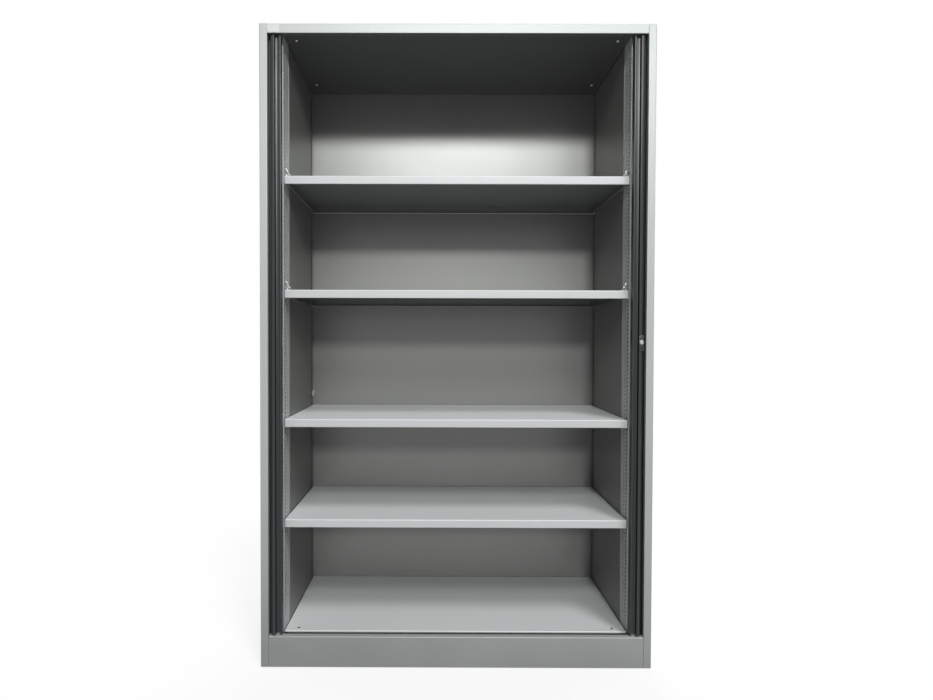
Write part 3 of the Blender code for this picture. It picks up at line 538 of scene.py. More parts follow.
def makeCamera(values):
    """Forward is (sin yaw cos pitch, cos yaw cos pitch, -sin pitch). Side and up are turned by roll."""
    yaw, pitch, roll = (math.radians(values[key]) for key in ("yaw", "pitch", "roll"))
    forward = np.array([math.sin(yaw) * math.cos(pitch), math.cos(yaw) * math.cos(pitch), -math.sin(pitch)])
    aside = np.array([math.cos(yaw), -math.sin(yaw), 0.0])
    upward = np.cross(aside, forward)
    turnedSide = math.cos(roll) * aside + math.sin(roll) * upward
    turnedUp = -math.sin(roll) * aside + math.cos(roll) * upward
    data = bpy.data.cameras.new("camera")
    data.sensor_width = values.sensor
    data.lens = values.focalPixels / values.imageWidth * values.sensor
    data.shift_x = (values.imageWidth / 2 - values.axisPixel) / values.imageWidth
    camera = placed("camera", data)
    setUp(camera, values.at, turnedSide, turnedUp, -forward)
    bpy.context.scene.camera = camera


makeCamera(cameraPlace)


# Folded outer panels, rail and plinth

steel = 0.0012
past = 0.003      # how far a cut runs on outside what it cuts
panelLow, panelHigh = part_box("right_side_panel")
railLow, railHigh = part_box("top_rail")
plinthLow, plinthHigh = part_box("front_plinth")
front, rear, halfWidth, stileX = panelLow.y, panelHigh.y, panelHigh.x, panelLow.x


def paintedShadeLayer(shown, name, share):
    """Share of painted shade at each point of a piece, or of keeping clear of it, as an attribute that its paint reads.
    """
    layer = shown.data.attributes.new(name, "FLOAT", "POINT")
    layer.data.foreach_set("value", np.asarray(share, np.float32))


def heights(shown):
    return np.array([vertex.co.z for vertex in shown.data.vertices])


outerFolds = Values(
    stileReturn=0.0125, rearFlange=0.020, returnBend=0.0020, frontBend=0.004, rearBend=0.0022, railBend=0.0022,
    seat=0.0003, bed=0.070, faceBack=0.0002, plinthGap=0.0005, skin=0.0007)


def outerPanels(values):
    """Side panel in plan: stile return, stile, side and rear flange. Rail and plinth in section: top
    fold, face, ledge and the leg behind it. The rail's underside is marked for painted shade, and the
    ledge's top is kept clear of the painted shade towards the floor."""
    line = roundedLine([(stileX, front + values.stileReturn), (stileX, front), (halfWidth, front),
                        (halfWidth, rear), (halfWidth - values.rearFlange, rear)],
                       [values.returnBend, values.frontBend, values.rearBend], 7)
    for side, sign in sides.items():
        solid = mirrored(foldedSheet(line, steel, panelLow.z, panelHigh.z), sign)
        piece(side + "SidePanel", solid, outerPaint, "carcass", [side + "_side_panel"])
    face = front + values.faceBack
    bend = values.railBend
    rail = roundedLine([(front + values.stileReturn, railHigh.z), (face, railHigh.z), (face, railLow.z),
                        (railHigh.y, railLow.z), (railHigh.y, railHigh.z - steel - values.seat)],
                       [bend, bend, bend], 6)
    shown = piece("topRail", foldedSheet(rail, steel, railLow.x, railHigh.x, "x"), outerPaint, "carcass",
                  ["top_rail"])
    # Painted shade on the rail's underside.
    paintedShadeLayer(shown, "underShade", heights(shown) < railLow.z + values.skin)
    plinth = roundedLine([(face, plinthLow.z), (face, plinthHigh.z), (plinthHigh.y, plinthHigh.z),
                          (plinthHigh.y, values.bed)], [bend, bend], 6)
    gap = values.plinthGap
    shown = piece("frontPlinth", foldedSheet(plinth, -steel, plinthLow.x + gap, plinthHigh.x - gap, "x"), outerPaint,
                  "carcass", ["front_plinth"])
    # The ledge's top is kept clear of the painted shade towards the floor.
    paintedShadeLayer(shown, "noFloorShade", heights(shown) > plinthHigh.z - values.skin)


outerPanels(outerFolds)


# Small blank label on the rail's left end

labelSize = Values(left=-0.5748, right=-0.5380, low=1.9345, high=1.9572, thickness=0.0002, corner=0.0015)


def label(left, right, low, high, thickness, corner):
    rings = roundedBlock(((right - left) / 2, (high - low) / 2), corner, [(0, 0), (0, thickness)],
                         ((left + right) / 2, (low + high) / 2, 0))
    piece("railLabel", acrossFront(shell(rings), front + thickness), labelPaper, "carcass")


label(**labelSize)


# Pans and shelves: a flat sheet with its four edges folded down and in

# The last three settings say how much painted shade the rear lip takes and where it falls under a tray.
panFolds = Values(
    bend=0.0026, corner=0.0030, steps=5, inner=0.03, panLip=0.010, shelfLip=0.012, panStep=(0.0065, 0.009),
    rearShare=0.2, underBand=0.0004, rearBand=0.0003)


def trayProfile(face, depth, lip, step, values):
    """Section of a folded edge, inset against height: out along the face's skin, over the bend, down
    the wall, in under the lip, and back inside one sheet thickness away. A step sets the wall's lower
    part back: (height of the upper part, how far back)."""
    sense = math.copysign(1.0, depth)
    corners = [(values.inner, face), (0, face)]
    if step:
        corners += [(0, face + sense * step[0]), (step[1], face + sense * step[0])]
    corners += [(corners[-1][0], face + depth), (corners[-1][0] + lip, face + depth)]
    outer = roundedLine(corners, [values.bend] * (len(corners) - 2), values.steps)
    inner = offsetLine(outer, -steel * sense)
    return np.vstack([outer, inner[::-1]])


def tray(name, node, face, depth, lip, finish, body, cuts=(), step=None):
    """Pan or shelf. Unless it has cuts, it is marked for painted shade: full inside and underneath, a
    little on the walls, and less along the rear lip."""
    low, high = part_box(node)
    profile = trayProfile(face, depth, lip, step, panFolds)
    rings = boxRings(low, high, "xy", panFolds.corner, profile)
    shown = piece(name, shell(rings), finish, body, [node], cuts=cuts)
    if not cuts:
        inset, height = profile.T
        wall = (inset < 1e-6) & (np.abs(height - face - depth / 2) < abs(depth) / 2 - panFolds.bend)
        under = np.abs(height - face - depth) < panFolds.underBand
        shaded = np.where(under | (np.arange(len(profile)) >= len(profile) // 2), 1.0, wall * coat.lipShare)
        y = rings[:, :, 1]
        rearLip = under[:, None] & (y > y.max(1, keepdims=True) - panFolds.rearBand)
        paintedShadeLayer(shown, "underShade", np.where(rearLip, panFolds.rearShare, shaded[:, None]).ravel())
    return shown


accessHoles = Values(radius=0.0045, reach=0.004, rim=0.0007, flare=1.2)
basePanLow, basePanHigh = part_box("base_pan")
ceilingLow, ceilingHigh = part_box("ceiling_pan")
footPlaces = {}
for row in ("front", "rear"):
    for side in sides:
        footLow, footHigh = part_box(f"{row}_{side}_foot")
        footPlaces[row, side] = ((footLow.x + footHigh.x) / 2, (footLow.y + footHigh.y) / 2)


def holeCut(x, y, radius, reach, rim, flare):
    """Access hole with its rim opened out."""
    wide = radius + rim * flare
    profile = [(radius, -reach), (radius, -rim), (wide, rim * (flare - 1)), (wide, reach)]
    return lathe(profile, (x, y, basePanHigh.z), 28)


tray("basePan", "base_pan", basePanHigh.z, basePanLow.z - basePanHigh.z, panFolds.panLip, litShelfPaint, "carcass",
     [holeCut(x, y, **accessHoles) for x, y in footPlaces.values()], panFolds.panStep)
tray("ceilingPan", "ceiling_pan", ceilingLow.z, ceilingHigh.z - ceilingLow.z, panFolds.panLip, shadedCeilingPaint,
     "carcass")
for number in range(1, 5):
    node = f"shelf_{number}"
    shelfLow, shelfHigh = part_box(node)
    tray(f"shelf{number}", node, shelfHigh.z, shelfLow.z - shelfHigh.z, panFolds.shelfLip, litShelfPaint, node)
print("pans and shelves made")


# Slotted uprights, liners and inner back

uprightFolds = Values(
    recess=0.0015, lip=0.005, joggle=0.0025, joggleBend=0.0014, bend=0.0012, firstSlot=0.040, pitch=0.0126,
    endMargin=0.030, square=3.6, frontColumns=(0.020, 0.041), tile=0.0110, slotSize=(0.0047, 0.0034),
    roundSize=(0.0032, 0.0028), rearColumn=0.0097, rearTile=0.0165, rearSize=(0.0070, 0.0036))
slotBase = basePanHigh.z + uprightFolds.firstSlot


def columnLines(middle, width):
    return middle + width * np.array([-0.5, -0.25, 0, 0.25, 0.5])


def slotRows(low, high, values):
    """Row heights at quarter pitches from the first slot's lower border, with the sheet's two ends, and
    how many slots there are."""
    count = int((ceilingLow.z - values.endMargin - slotBase) / values.pitch) + 1
    quarter = slotBase + values.pitch * (np.arange(4 * count + 1) / 4 - 0.5)
    return np.concatenate([[low], quarter, [high]]), count


def frontUpright(side, sign, values):
    low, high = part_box("right_front_upright")
    strip = low.x + values.recess
    line = roundedLine([(high.x, low.y), (low.x, low.y), (low.x, low.y + values.lip),
                        (strip, low.y + values.lip + values.joggle), (strip, high.y)],
                       [values.bend, values.joggleBend, values.joggleBend], 3)
    columns = [columnLines(low.y + distance, values.tile) for distance in values.frontColumns]
    flat = np.concatenate(columns)
    line = np.vstack([line[:-1], np.column_stack([np.full(len(flat), strip), flat]), line[-1:]])
    rows, count = slotRows(low.z, high.z, values)
    first = len(line) - 1 - len(flat)
    slots = [
        Values(rows=1 + 4 * np.arange(count), column=first, size=values.slotSize, square=values.square),
        Values(rows=3 + 4 * np.arange(count - 1), column=first + 5, size=values.roundSize, square=2.0),
    ]
    solid = mirrored(slottedSheet(line, -steel, rows, slots), sign)
    piece(side + "FrontUpright", solid, litUprightPaint, "carcass", [side + "_front_upright"])


def rearUpright(side, sign, values):
    low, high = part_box("right_rear_upright")
    line = roundedLine([(low.x, low.y), (low.x, high.y), (high.x, high.y)], [values.bend], 3)
    flat = columnLines(high.y - values.rearColumn, values.rearTile)
    line = np.vstack([line[:1], np.column_stack([np.full(5, low.x), flat]), line[1:]])
    rows, count = slotRows(low.z, high.z, values)
    slots = [Values(rows=1 + 4 * np.arange(count), column=1, size=values.rearSize, square=values.square)]
    solid = mirrored(slottedSheet(line, -steel, rows, slots), sign)
    piece(side + "RearUpright", solid, shadedInnerPaint, "carcass", [side + "_rear_upright"])


def channel(low, high, thickness, turned):
    """Flat web with its two edges folded back: in plan it opens towards X, or towards Y."""
    corners = [(high.x, low.y), (low.x, low.y), (low.x, high.y), (high.x, high.y)]
    if turned:
        corners = [(low.x, high.y), (low.x, low.y), (high.x, low.y), (high.x, high.y)]
    return foldedSheet(roundedLine(corners, [uprightFolds.bend] * 2, 4), thickness, low.z, high.z)


for side, sign in sides.items():
    frontUpright(side, sign, uprightFolds)
    rearUpright(side, sign, uprightFolds)
    solid = mirrored(channel(*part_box("right_liner"), -steel, False), sign)
    piece(side + "Liner", solid, shadedInnerPaint, "carcass", [side + "_liner"])
piece("innerBack", channel(*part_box("inner_back"), steel, True), shadedInnerPaint, "carcass", ["inner_back"])
print("uprights, liners and inner back made")


# Lead stiles: curved face, finger groove and rounded ridge, drawn as one profile

leadLow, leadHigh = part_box("right_lead_stile")
leadProfile = Values(
    face=0.0145, groove=0.0130, grooveDepth=0.0130, floorRise=0.0010, ridgeStep=0.0030, faceFall=0.0090,
    edge=0.0012, ridgeRadius=0.0028, steps=14, draft=0.0035)
lockValues = Values(
    barrelFromEdge=0.0073, height=1.003, boreRadius=0.0058, fit=0.0003, slotFront=-0.2065, slotRear=-0.2005,
    hookLow=0.006, hookHigh=0.037, hookHalf=0.006, strikeLow=0.010, strikeHigh=0.028, strikeDeep=0.012,
    boreInto=0.001)
barrelX = leadHigh.x - lockValues.barrelFromEdge


def leadOutline(values):
    """Right lead stile in plan: back, inner side drawn out towards the back by a draft, rounded ridge,
    groove with a hollow floor (a half ellipse), rounded inner edge and the face as a quarter ellipse
    that falls back to the outer edge."""
    faceIn = leadHigh.x - values.face
    grooveIn = faceIn - values.groove
    floor = leadLow.y + values.grooveDepth
    ridge = leadLow.y + values.ridgeStep
    edge, round_ = values.edge, values.ridgeRadius
    floorMiddle = ((grooveIn + faceIn) / 2, floor - values.floorRise)
    return np.concatenate([
        [(leadHigh.x, leadHigh.y), (leadLow.x + values.draft, leadHigh.y)],
        arcLine((leadLow.x + round_, ridge + round_), (round_, round_), 180, 270, 7),
        arcLine((grooveIn - round_, ridge + round_), (round_, round_), 270, 360, 7),
        arcLine(floorMiddle, (values.groove / 2, values.floorRise), 180, 0, 16),
        arcLine((faceIn + edge, leadLow.y + edge), (edge, edge), 180, 270, 6),
        arcLine((faceIn + edge, leadLow.y + values.faceFall),
                (values.face - edge, values.faceFall), -90, 0, values.steps)[1:],
    ])


def drafted(solid, values):
    """A solid at the left lead stile's inner side, leant with the side: moved out by the draft's share
    of its depth behind the ridge."""
    points, faces = solid
    start = leadLow.y + values.ridgeStep + values.ridgeRadius
    out = values.draft * (points[:, 1] - start) / (leadHigh.y - start)
    return np.column_stack([points[:, 0] - out, points[:, 1:]]), faces


housingLow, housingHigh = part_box("lock_housing")
plateLow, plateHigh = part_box("strike_plate")


def onBarrel(profile, steps=28, drop=0.0):
    """Profile of (radius, y) turned about the barrel's axis, or about one that lies lower."""
    return lathe(profile, (barrelX, 0, lockValues.height - drop), steps, "y")


def strikeSlot(lock, low, high):
    """Cut for the hook in the left stile and in its plate, from X low to high."""
    return boxSolid((low, lock.slotFront, lock.height - lock.strikeLow),
                    (high, lock.slotRear, lock.height + lock.strikeHigh))


def leadStiles(values, lock):
    """The right stile takes the lock's seat, its bore and the hook's pocket, the left one the strike."""
    solid = prism(leadOutline(values), leadLow.z, leadHigh.z)
    height, fit = lock.height, lock.fit
    seat = boxSolid((housingLow.x - fit, front - past, housingLow.z - fit),
                    (housingHigh.x + fit, housingHigh.y + fit, housingHigh.z + fit))
    bore = onBarrel([(lock.boreRadius, front - past), (lock.boreRadius, lock.slotFront + lock.boreInto)])
    pocket = boxSolid((leadLow.x - past, lock.slotFront, height - lock.hookLow),
                      (barrelX + lock.hookHalf, lock.slotRear, height + lock.hookHigh))
    piece("rightLeadStile", solid, charcoal, "right_door", ["right_lead_stile"],
          cuts=[seat, bore, pocket])
    plateSeat = drafted(boxSolid((plateLow.x - fit, plateLow.y - fit, plateLow.z - fit),
                                 (plateHigh.x + past, plateHigh.y + fit, plateHigh.z + fit)), values)
    piece("leftLeadStile", mirrored(solid, -1), charcoal, "left_door", ["left_lead_stile"],
          cuts=[plateSeat, strikeSlot(lock, -leadLow.x - lock.strikeDeep, -leadLow.x + past)])


leadStiles(leadProfile, lockValues)
print("lead stiles made")


# Curtains: ribbed slats. One slat is fast to the lead stile. The front run is squeezed into a strip
# behind the frame stile. The side and rear runs flatten away.

shutter = Values(
    pitch=0.0165, thickness=0.005, travel=0.534, runFront=-0.199, low=0.083, high=1.940, slatEnd=0.0130,
    zone=0.0120, notch=0.0021, notchWidth=0.0013, crown=0.0004, cornerRadius=0.0255, cornerX=0.563, runRear=0.2045,
    cornerFrom=47.0, rearEnd=0.428, keep=0.03, samples=14, crowding=0.6, gap=0.0003, tableSize=6001)


def slatDepth(distance, values):
    """How far the outer skin lies in: a bell-shaped notch at each hinge and a slight crown between."""
    share = np.mod(distance / values.pitch, 1.0)
    fromHinge = np.minimum(share, 1 - share) * values.pitch
    notch = values.notch * np.exp(-(fromHinge / values.notchWidth) ** 2)
    return notch + values.crown * (2 * share - 1) ** 2


def slatDistances(start, end, values):
    """Distances from start to end at an even number to each slat, closer together at the hinges."""
    even = np.linspace(0, 1, values.samples, endpoint=False)
    bent = even - values.crowding * np.sin(2 * math.pi * even) / (2 * math.pi)
    first, last = math.floor(start / values.pitch), math.ceil(end / values.pitch)
    every = ((np.arange(first, last)[:, None] + bent) * values.pitch).ravel()
    inside = every[(every > start + 1e-6) & (every < end - 1e-6)]
    return np.concatenate([[start], inside, [end]])


def straightSlats(start, end, origin, values):
    """Front and back lines along X for distances from the lead stile's outer edge."""
    distance = slatDistances(start, end, values)
    half = values.thickness / 2
    outer = np.column_stack([origin + distance, values.runFront - half + slatDepth(distance, values)])
    inner = np.column_stack([origin + distance, np.full(len(distance), values.runFront + half)])
    return outer, inner


def bentRun(start, end, corner, turn, values):
    """Slats round a corner and straight on. The middle line turns about the corner by distance / radius,
    up to a right angle, and then goes along its tangent. Its first angle lies turn ahead of X."""
    radius, half = values.cornerRadius, values.thickness / 2
    right = math.pi / 2
    distance = slatDistances(start, end, values)
    angle = np.minimum(distance / radius, right) + turn
    normal = np.column_stack([np.cos(angle), np.sin(angle)])
    tangent = [-math.sin(right + turn), math.cos(right + turn)]
    middle = np.array(corner) + normal * radius + np.outer(np.maximum(distance - radius * right, 0), tangent)
    outer = middle + normal * (half - slatDepth(distance, values))[:, None]
    return outer, middle - normal * half, middle


def curtain(side, sign, values):
    edge, door = leadHigh.x + values.gap, side + "_door"

    def slats(name, outer, inner, body, stands=(), sharp=32):
        solid = mirrored(sheetSolid(outer, inner, values.low, values.high), sign)
        return piece(side + name, solid, curtainPlastic, body, stands, sharp)

    slats("FirstSlat", *straightSlats(0, values.slatEnd, edge, values), door)

    zoneIn = edge + values.slatEnd
    zoneOut = zoneIn + values.zone
    rest = np.linspace(zoneIn, zoneOut, values.tableSize)
    share = (zoneOut - rest) / values.zone
    shut = rest - values.travel * share ** 2 * (3 - 2 * share)
    outer, inner = straightSlats(values.slatEnd, zoneOut - edge + values.travel,
                                 edge - values.travel, values)
    outer[:, 0] = np.interp(outer[:, 0], shut, rest)
    inner[:, 0] = outer[:, 0]
    made = slats("FrontCurtain", outer, inner, None, [side + "_curtain"], 80)
    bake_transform(made)

    radius, cornerX = values.cornerRadius, values.cornerX
    sideStart, sideEnd = values.runFront + radius, values.runRear - radius
    quarter = radius * math.pi / 2
    outer, inner, middle = bentRun(radius * math.radians(values.cornerFrom), quarter + sideEnd - sideStart,
                                   (cornerX, sideStart), -math.pi / 2, values)
    made = slats("SideCurtain", outer, inner, "carcass")
    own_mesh(made)
    outer, inner, middle = bentRun(0, quarter + cornerX - values.rearEnd, (cornerX, sideEnd), 0, values)
    made = slats("RearCurtain", outer, inner, "carcass")
    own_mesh(made)


for side, sign in sides.items():
    curtain(side, sign, shutter)
print("curtains made")


# Lock: moulded housing, chrome ring, key barrel, and the strike plate opposite

lockParts = Values(
    housingCorner=0.0030, housingEdge=0.0012, crown=0.0004, barrelRadius=0.0052, ringInner=0.0053, ringOuter=0.0066,
    ringProud=0.0009, keyWidth=0.0016, keyHeight=0.0060, screwDrop=0.018, screwRadius=0.0021, screwDeep=0.0030,
    crossLong=0.0014, crossWide=0.0003, crossFloor=0.0005, brow=0.0055, browAngle=18.0, browDeep=0.006,
    browUnder=0.001, browTall=0.014, innerEdge=0.3, keyDeep=0.003, ringRoot=0.0014, ringRise=0.0002,
    plateCorner=0.0022, plateEdge=0.0003)
# share of the screw's radius, and how far its head stands over its seat
screwEdge = [(1.0, 0.0001), (1.0, 0.0007), (0.8, 0.0010), (0.35, 0.0011)]


def lockHousing(values, lock):
    """A rounded block whose front edge is an arc and whose face is crowned. It leans back at the top from
    a height under it: a box turned by the lean's angle is cut away. Below the barrel sits a screw."""
    depth, edge = housingHigh.y - housingLow.y, values.housingEdge
    bend = arcLine((edge, depth - edge), (edge, edge), 180, 90, 6)
    middle = (housingHigh.x - housingLow.x) * values.innerEdge
    profile = np.vstack([[(0, 0)], bend - [0, values.crown], [(middle, depth)]])
    rings = boxRings(housingLow, housingHigh, "xz", values.housingCorner, profile)
    radius, drop = values.screwRadius, values.screwDrop
    deep, wide = housingLow.y + values.screwDeep, radius + lock.fit
    bore = onBarrel([(lock.boreRadius, front - past), (lock.boreRadius, housingHigh.y + past)])
    screwHole = onBarrel([(wide, front - past), (wide, deep)], 20, drop)
    points, faces = boxSolid((housingLow.x - past, -values.browDeep, -values.browUnder),
                             (housingHigh.x + past, 0, values.browTall))
    x, y, z = points.T
    lean = math.radians(values.browAngle)
    brow = np.column_stack([x, housingLow.y + y * math.cos(lean) + z * math.sin(lean),
                            housingHigh.z - values.brow - y * math.sin(lean) + z * math.cos(lean)])
    piece("lockHousing", acrossFront(shell(rings), housingHigh.y), housingPlastic, "right_door",
          ["lock_housing"], cuts=[bore, screwHole, (brow, faces)])

    head = [(radius * share, deep - rise) for share, rise in screwEdge]
    z = lock.height - drop
    cross = [boxSolid((barrelX - a, front - past, z - b), (barrelX + a, deep - values.crossFloor, z + b))
             for a, b in crossArms(values.crossWide, values.crossLong)]
    # The screw head takes the housing's black plastic so that it reads dark in its recess: painted shade.
    piece("lockScrew", onBarrel(head, 20, drop), housingPlastic, "right_door", cuts=cross)


def crossArms(wide, long):
    """Half sizes of the two boxes that cut a crossed recess."""
    return (wide, long), (long, wide)


# how far in from the barrel's radius and behind its face
barrelEdge = [(0, 0.0008), (0.0002, 0.0003), (0.0006, 0.0001), (0.0014, 0), (0.0044, 0.0001)]


def lockBarrel(values, lock):
    """Barrel with its keyway, and round it a ring whose section is half an ellipse: its last ring of
    points is joined to the first."""
    barrelLow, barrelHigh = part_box("lock_barrel")
    face, radius = barrelLow.y, values.barrelRadius
    profile = [(radius, barrelHigh.y)] + [(radius - a, face + b) for a, b in barrelEdge]
    wide, tall = values.keyWidth / 2, values.keyHeight / 2
    keyway = boxSolid((barrelX - wide, front - past, lock.height - tall),
                      (barrelX + wide, face + values.keyDeep, lock.height + tall))
    piece("lockBarrel", onBarrel(profile, 40), lockChrome, "lock_bolt", ["lock_barrel"], cuts=[keyway])

    inner, outer, base, steps = values.ringInner, values.ringOuter, housingLow.y, 48
    root = base + values.ringRoot
    bead = arcLine(((inner + outer) / 2, base + values.ringRise), ((outer - inner) / 2, values.ringProud), 0, -180, 10)
    profile = np.vstack([[(outer, root)], bead, [(inner, root)]])
    points, faces = onBarrel(profile, steps)
    first = np.arange(steps)
    last = first + (len(profile) - 1) * steps
    faces = [faces[0], np.stack([last, np.roll(last, -1), np.roll(first, -1), first], 1)]
    piece("lockRing", (points, faces), lockChrome, "right_door")


def strikePlate(values, lock):
    thick, edge = plateHigh.x - plateLow.x, values.plateEdge
    profile = [(0, 0), (0, thick - edge), (edge / 3, thick - edge / 3), (edge, thick)]
    points, faces = shell(boxRings(plateLow, plateHigh, "yz", values.plateCorner, profile))
    solid = np.column_stack([plateLow.x + points[:, 2], points[:, 0], points[:, 1]]), faces
    # The plate's pale zinc holds a painted glint.
    piece("strikePlate", drafted(solid, leadProfile), paleGlintZinc, "left_door", ["strike_plate"],
          cuts=[strikeSlot(lock, plateLow.x - 2 * past, plateHigh.x + 2 * past)])


lockHousing(lockParts, lockValues)
lockBarrel(lockParts, lockValues)
strikePlate(lockParts, lockValues)
print("lock made")


# Wire clips: a hook through the slot, a bow and an eye above the shelf, and a tongue under its edge

clipWire = Values(
    radius=0.0012, sides=8, tail=0.0040, eye=0.0051, tongue=0.012, stripX=0.539, shelfX=0.5355, eyeOut=0.0112,
    shelf=0.0255, fit=0.0003, eyeTwist=2.6, spareEye=0.0056, spareOut=0.0072, spareTwist=2.4, blendOut=0.0005,
    blendIn=0.0030)
# distance from the strip's nearest wire and height above the tongue, then the bow's from the strip and the shelf
legPoints = [(0, 0.010), (0, 0.0035), (0.0010, 0.0009), (0.0035, 0)]
bowPoints = [(0.0, 0.0272), (0.0030, 0.0268), (0.0060, 0.0240), (0.0084, 0.0204), (0.0090, 0.0172), (0.0084, 0.0140)]


def clipPaths(low, high, tall, values):
    """One clip's wires as points of (distance from the strip, along Y, height): first the leg and the
    tongue under the shelf, then a tall clip's bow with the eye that stands on the shelf."""
    radius = values.radius
    tongueZ = low.z + radius
    hookZ = high.z - radius
    near = values.fit + radius
    top = tongueZ + values.shelf + near
    reach = values.stripX - values.shelfX + values.tongue
    leg = [(near + x, 0, tongueZ + z) for x, z in legPoints] + [(reach, 0, tongueZ)]
    hook = [(-values.tail, 0, hookZ)]
    if not tall:
        return [hook + [(0.0, 0, hookZ), (near * 0.8, 0, hookZ - 0.0008)] + leg]
    eye = eyeLoop(values.eye, values.eyeOut, top + values.eye + radius + 0.0002, (100, -450, 20),
                  values.eyeTwist * radius)
    bow = [(x, 0, top + z) for x, z in bowPoints]
    foot = [(near + 0.0026, 1.2 * radius, top + 0.0014), (near, radius, top - 0.0012)]
    return [[(near, radius, top - 0.0002), (near, radius * 0.9, top - 0.0030)] + leg, hook + bow + eye + foot]


def eyeLoop(reach, out, height, turn, twist):
    """Points round an eye from one angle to another, moved along Y by the twist in all."""
    angles = np.radians(np.linspace(*turn))
    return [(out + reach * math.cos(a), t * twist, height + reach * math.sin(a))
            for a, t in zip(angles, np.linspace(-0.5, 0.5, turn[2]))]


def wire(name, path, sign, column, body, values, stands=()):
    line = smoothLine(path, 6)
    line = np.column_stack([sign * (values.stripX - line[:, 0]), column + line[:, 1], line[:, 2]])
    return piece(name, tube(line, values.radius, values.sides), zincWire, body, stands, sharp=60)


def clips(values):
    """The leg rides on the carcass. A tall clip's bow is a piece of its own, on no body. The spare clip
    hangs alone in a slot."""
    for (side, sign), number, row in itertools.product(sides.items(), range(1, 5), ("front", "rear")):
        node = f"shelf_{number}_{side}_{row}_clip"
        name = f"clip{number}{side.title()}{row.title()}"
        low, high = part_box(node)
        column = (low.y + high.y) / 2
        leg, *bows = clipPaths(low, high, row == "front" and number <= 2, values)
        wire(name, leg, sign, column, "carcass", values, [node])
        for bow in bows:
            shown = wire(name + "Bow", bow, sign, column, None, values)
            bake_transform(shown)
    low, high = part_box("spare_clip")
    top = high.z - values.radius
    path = [(-values.tail, 0, top), (0.0, 0, top)]
    path += eyeLoop(values.spareEye, values.spareOut, top - 0.0065, (150, -250, 15),
                    values.spareTwist * values.radius)
    path += [(0.0058, 0, top - 0.016), (0.0032, 0, top - 0.022), (0.0042, 0, low.z + 0.004),
             (0.010, 0, low.z + values.radius)]
    wire("spareClip", path, -1, (low.y + high.y) / 2, "carcass", values, ["spare_clip"])


clips(clipWire)
print("clips made")


# Ceiling screws

screwHeads = Values(
    radius=0.0042, height=0.0026, crossLong=0.0016, crossWide=0.0003, crossDeep=0.45, crossOut=0.001, seat=0.00005,
    places={"Front": (0.503, -0.163), "Rear": (0.504, 0.109)})


def ceilingScrews(values):
    """Domed heads under the ceiling, each a turned arc with a crossed recess."""
    height = values.height
    dome = arcLine((0, 0), (values.radius, height), 0, -80, 7)
    z = ceilingLow.z - values.seat
    for side, sign in sides.items():
        for row, (out, y) in values.places.items():
            x = sign * out
            cross = [boxSolid((x - a, y - b, z - height - values.crossOut),
                              (x + a, y + b, z - height * values.crossDeep))
                     for a, b in crossArms(values.crossWide, values.crossLong)]
            # The heads' pale zinc holds a painted glint.
            piece(side + row + "CeilingScrew", lathe(dome, (x, y, z), 20), paleGlintZinc, "carcass",
                  cuts=cross)


ceilingScrews(screwHeads)


# Levelling feet: ribbed pad, neck, nut and a threaded stem

footShape = Values(
    pad=0.016, padEdge=0.005, round=0.0015, neck=0.0075, neckTop=0.0110, neckEdge=0.0002, stem=0.0050,
    threadFrom=0.0125, threadDepth=0.0006, threadPitch=0.0018, tip=0.0005)


def feet(values):
    """Turned profile: the pad's rounded rim, its sloping top, the neck, and a stem whose radius zigzags
    once a thread pitch."""
    pad, edge, bend, neck, top, stem = (values[key] for key in ("pad", "padEdge", "round", "neck", "neckTop", "stem"))
    depth, fine = values.threadDepth, values.neckEdge
    rim = arcLine((pad - bend, bend), (bend, bend), -90, 0, 4)
    over = arcLine((pad - bend, edge - bend), (bend, bend), 0, 80, 4)
    for (row, side), (x, y) in footPlaces.items():
        node = f"{row}_{side}_foot"
        low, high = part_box(node)
        turns = np.arange(values.threadFrom, high.z - values.tip, values.threadPitch / 2)
        zigzag = stem - depth * (np.arange(len(turns)) % 2)
        profile = np.vstack([rim, over, [(neck, top - fine), (neck, top), (stem - depth, top + fine)],
                             np.column_stack([zigzag, turns]), [(stem - 2 * depth, high.z)]])
        piece(row + side.title() + "Foot", lathe(profile, (x, y, low.z), 28), footPlastic, node, [node],
              sharp=40)


feet(footShape)
print("small pieces made")


# CAD nodes that stay as they are take the procedural finishes

stayingNodes = {
    outerPaint: ["top_panel", "back_panel", "base_floor"],
    trackPlastic: [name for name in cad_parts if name.endswith("_track")],
    glidePlastic: [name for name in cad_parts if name.endswith("_glide")],
    zincWire: ["lock_hook"],
}
for finish, names in stayingNodes.items():
    for name in names:
        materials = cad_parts[name].data.materials
        materials.clear()
        materials.append(finish)


# Floor, world and lights

floorLook = Values(
    reach=14.0, bounced=(0.34, 0.34, 0.34, 1.0), shown=(0.86, 0.86, 0.86, 1.0), roughness=0.8, nearWhite=0.72,
    whiteFrom=0.9, whiteAt=2.2)
white = (1, 1, 1, 1)


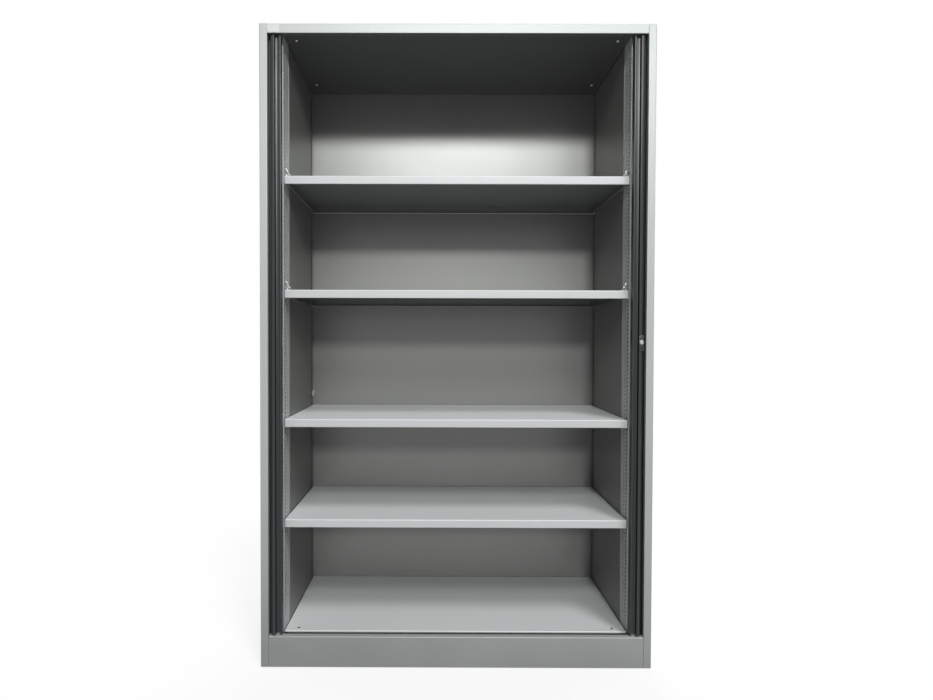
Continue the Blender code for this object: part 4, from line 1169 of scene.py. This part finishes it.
def paleFloor(values):
    """Wide pale floor: near the cabinet it keeps the shadow, and further off it is the background's white.
    It is pale only where it is seen, and throws a mid grey floor's light up."""
    reach = values.reach
    mesh = bpy.data.meshes.new("floor")
    corners = [(-reach, -reach, 0), (reach, -reach, 0), (reach, reach, 0), (-reach, reach, 0)]
    mesh.from_pydata(corners, [], [(0, 1, 2, 3)])
    floor = placed("floor", mesh)
    shader = Finish("floorPaint")
    place = shader.node("TexCoord", output="Object")
    distance = shader.node("VectorMath", {"operation": "LENGTH"}, {0: place}, output="Value")
    far = shader.mask(distance, values.whiteFrom, values.whiteAt, values.nearWhite)
    seen = shader.seen()
    shader.feed(shader.main, {"Base Color": shader.mixed(seen, values.bounced, values.shown),
                              "Roughness": values.roughness})
    glow = shader.node("Emission", {}, {"Color": white, "Strength": 1.0})
    blend = shader.node("MixShader", {}, {0: seen * far, 1: Value(shader, shader.main.outputs[0]), 2: glow})
    shader.feed(shader.tree.nodes["Material Output"], {"Surface": blend})
    mesh.materials.append(shader.owner)


def studioWorld(level):
    """White where it is seen, and a plain grey level for everything else."""
    shader = Finish("studio", "worlds", "Background")
    shader.feed(shader.main, {"Color": white, "Strength": shader.seen(level)})
    bpy.context.scene.world = shader.owner


lamps = {
    "topFront": Values(kind="AREA", at=(0.0, -2.2, 2.75), aim=(0.0, -0.2, 1.0), size=(1.6, 0.4), energy=24.0),
    "topRight": Values(kind="AREA", at=(1.3, -1.8, 2.6), aim=(0.0, -0.2, 1.2), size=(1.2, 0.4), energy=11.0),
    "frontSun": Values(kind="SUN", at=(0.15, -3.81, 2.58), aim=(0.0, 0.0, 1.0), angle=7.0, energy=1.12),
    "highSun": Values(kind="SUN", at=(1.00, -1.70, 4.50), aim=(0.0, 0.0, 1.0), angle=14.0, energy=1.20),
    "backFill": Values(kind="AREA", at=(0.4, 4.2, 2.4), aim=(0.0, 0.2, 1.0), size=(3.0, 2.4), energy=110.0),
    "leftFill": Values(kind="AREA", at=(-4.2, 0.9, 1.9), aim=(-0.6, 0.2, 1.0), size=(2.4, 2.4), energy=80.0),
    "rightFill": Values(kind="AREA", at=(4.2, 0.9, 1.9), aim=(0.6, 0.2, 1.0), size=(2.4, 2.4), energy=80.0),
}


def makeLamp(name, values):
    """A lamp whose own Z runs from what it is aimed at to where it hangs."""
    data = bpy.data.lights.new(name, values.kind)
    data.energy = values.energy
    if values.kind == "SUN":
        data.angle = math.radians(values.angle)
    else:
        data.shape = "RECTANGLE"
        data.size, data.size_y = values.size
    back = unit(np.array(values.at) - np.array(values.aim))
    aside = unit(np.cross([0, 0, 1], back))
    setUp(placed(name, data), values.at, aside, np.cross(back, aside), back)


paleFloor(floorLook)
studioWorld(level=0.04)
for name, values in lamps.items():
    makeLamp(name, values)
bpy.context.scene.view_settings.view_transform = "Standard"
print("floor, world and lights made")
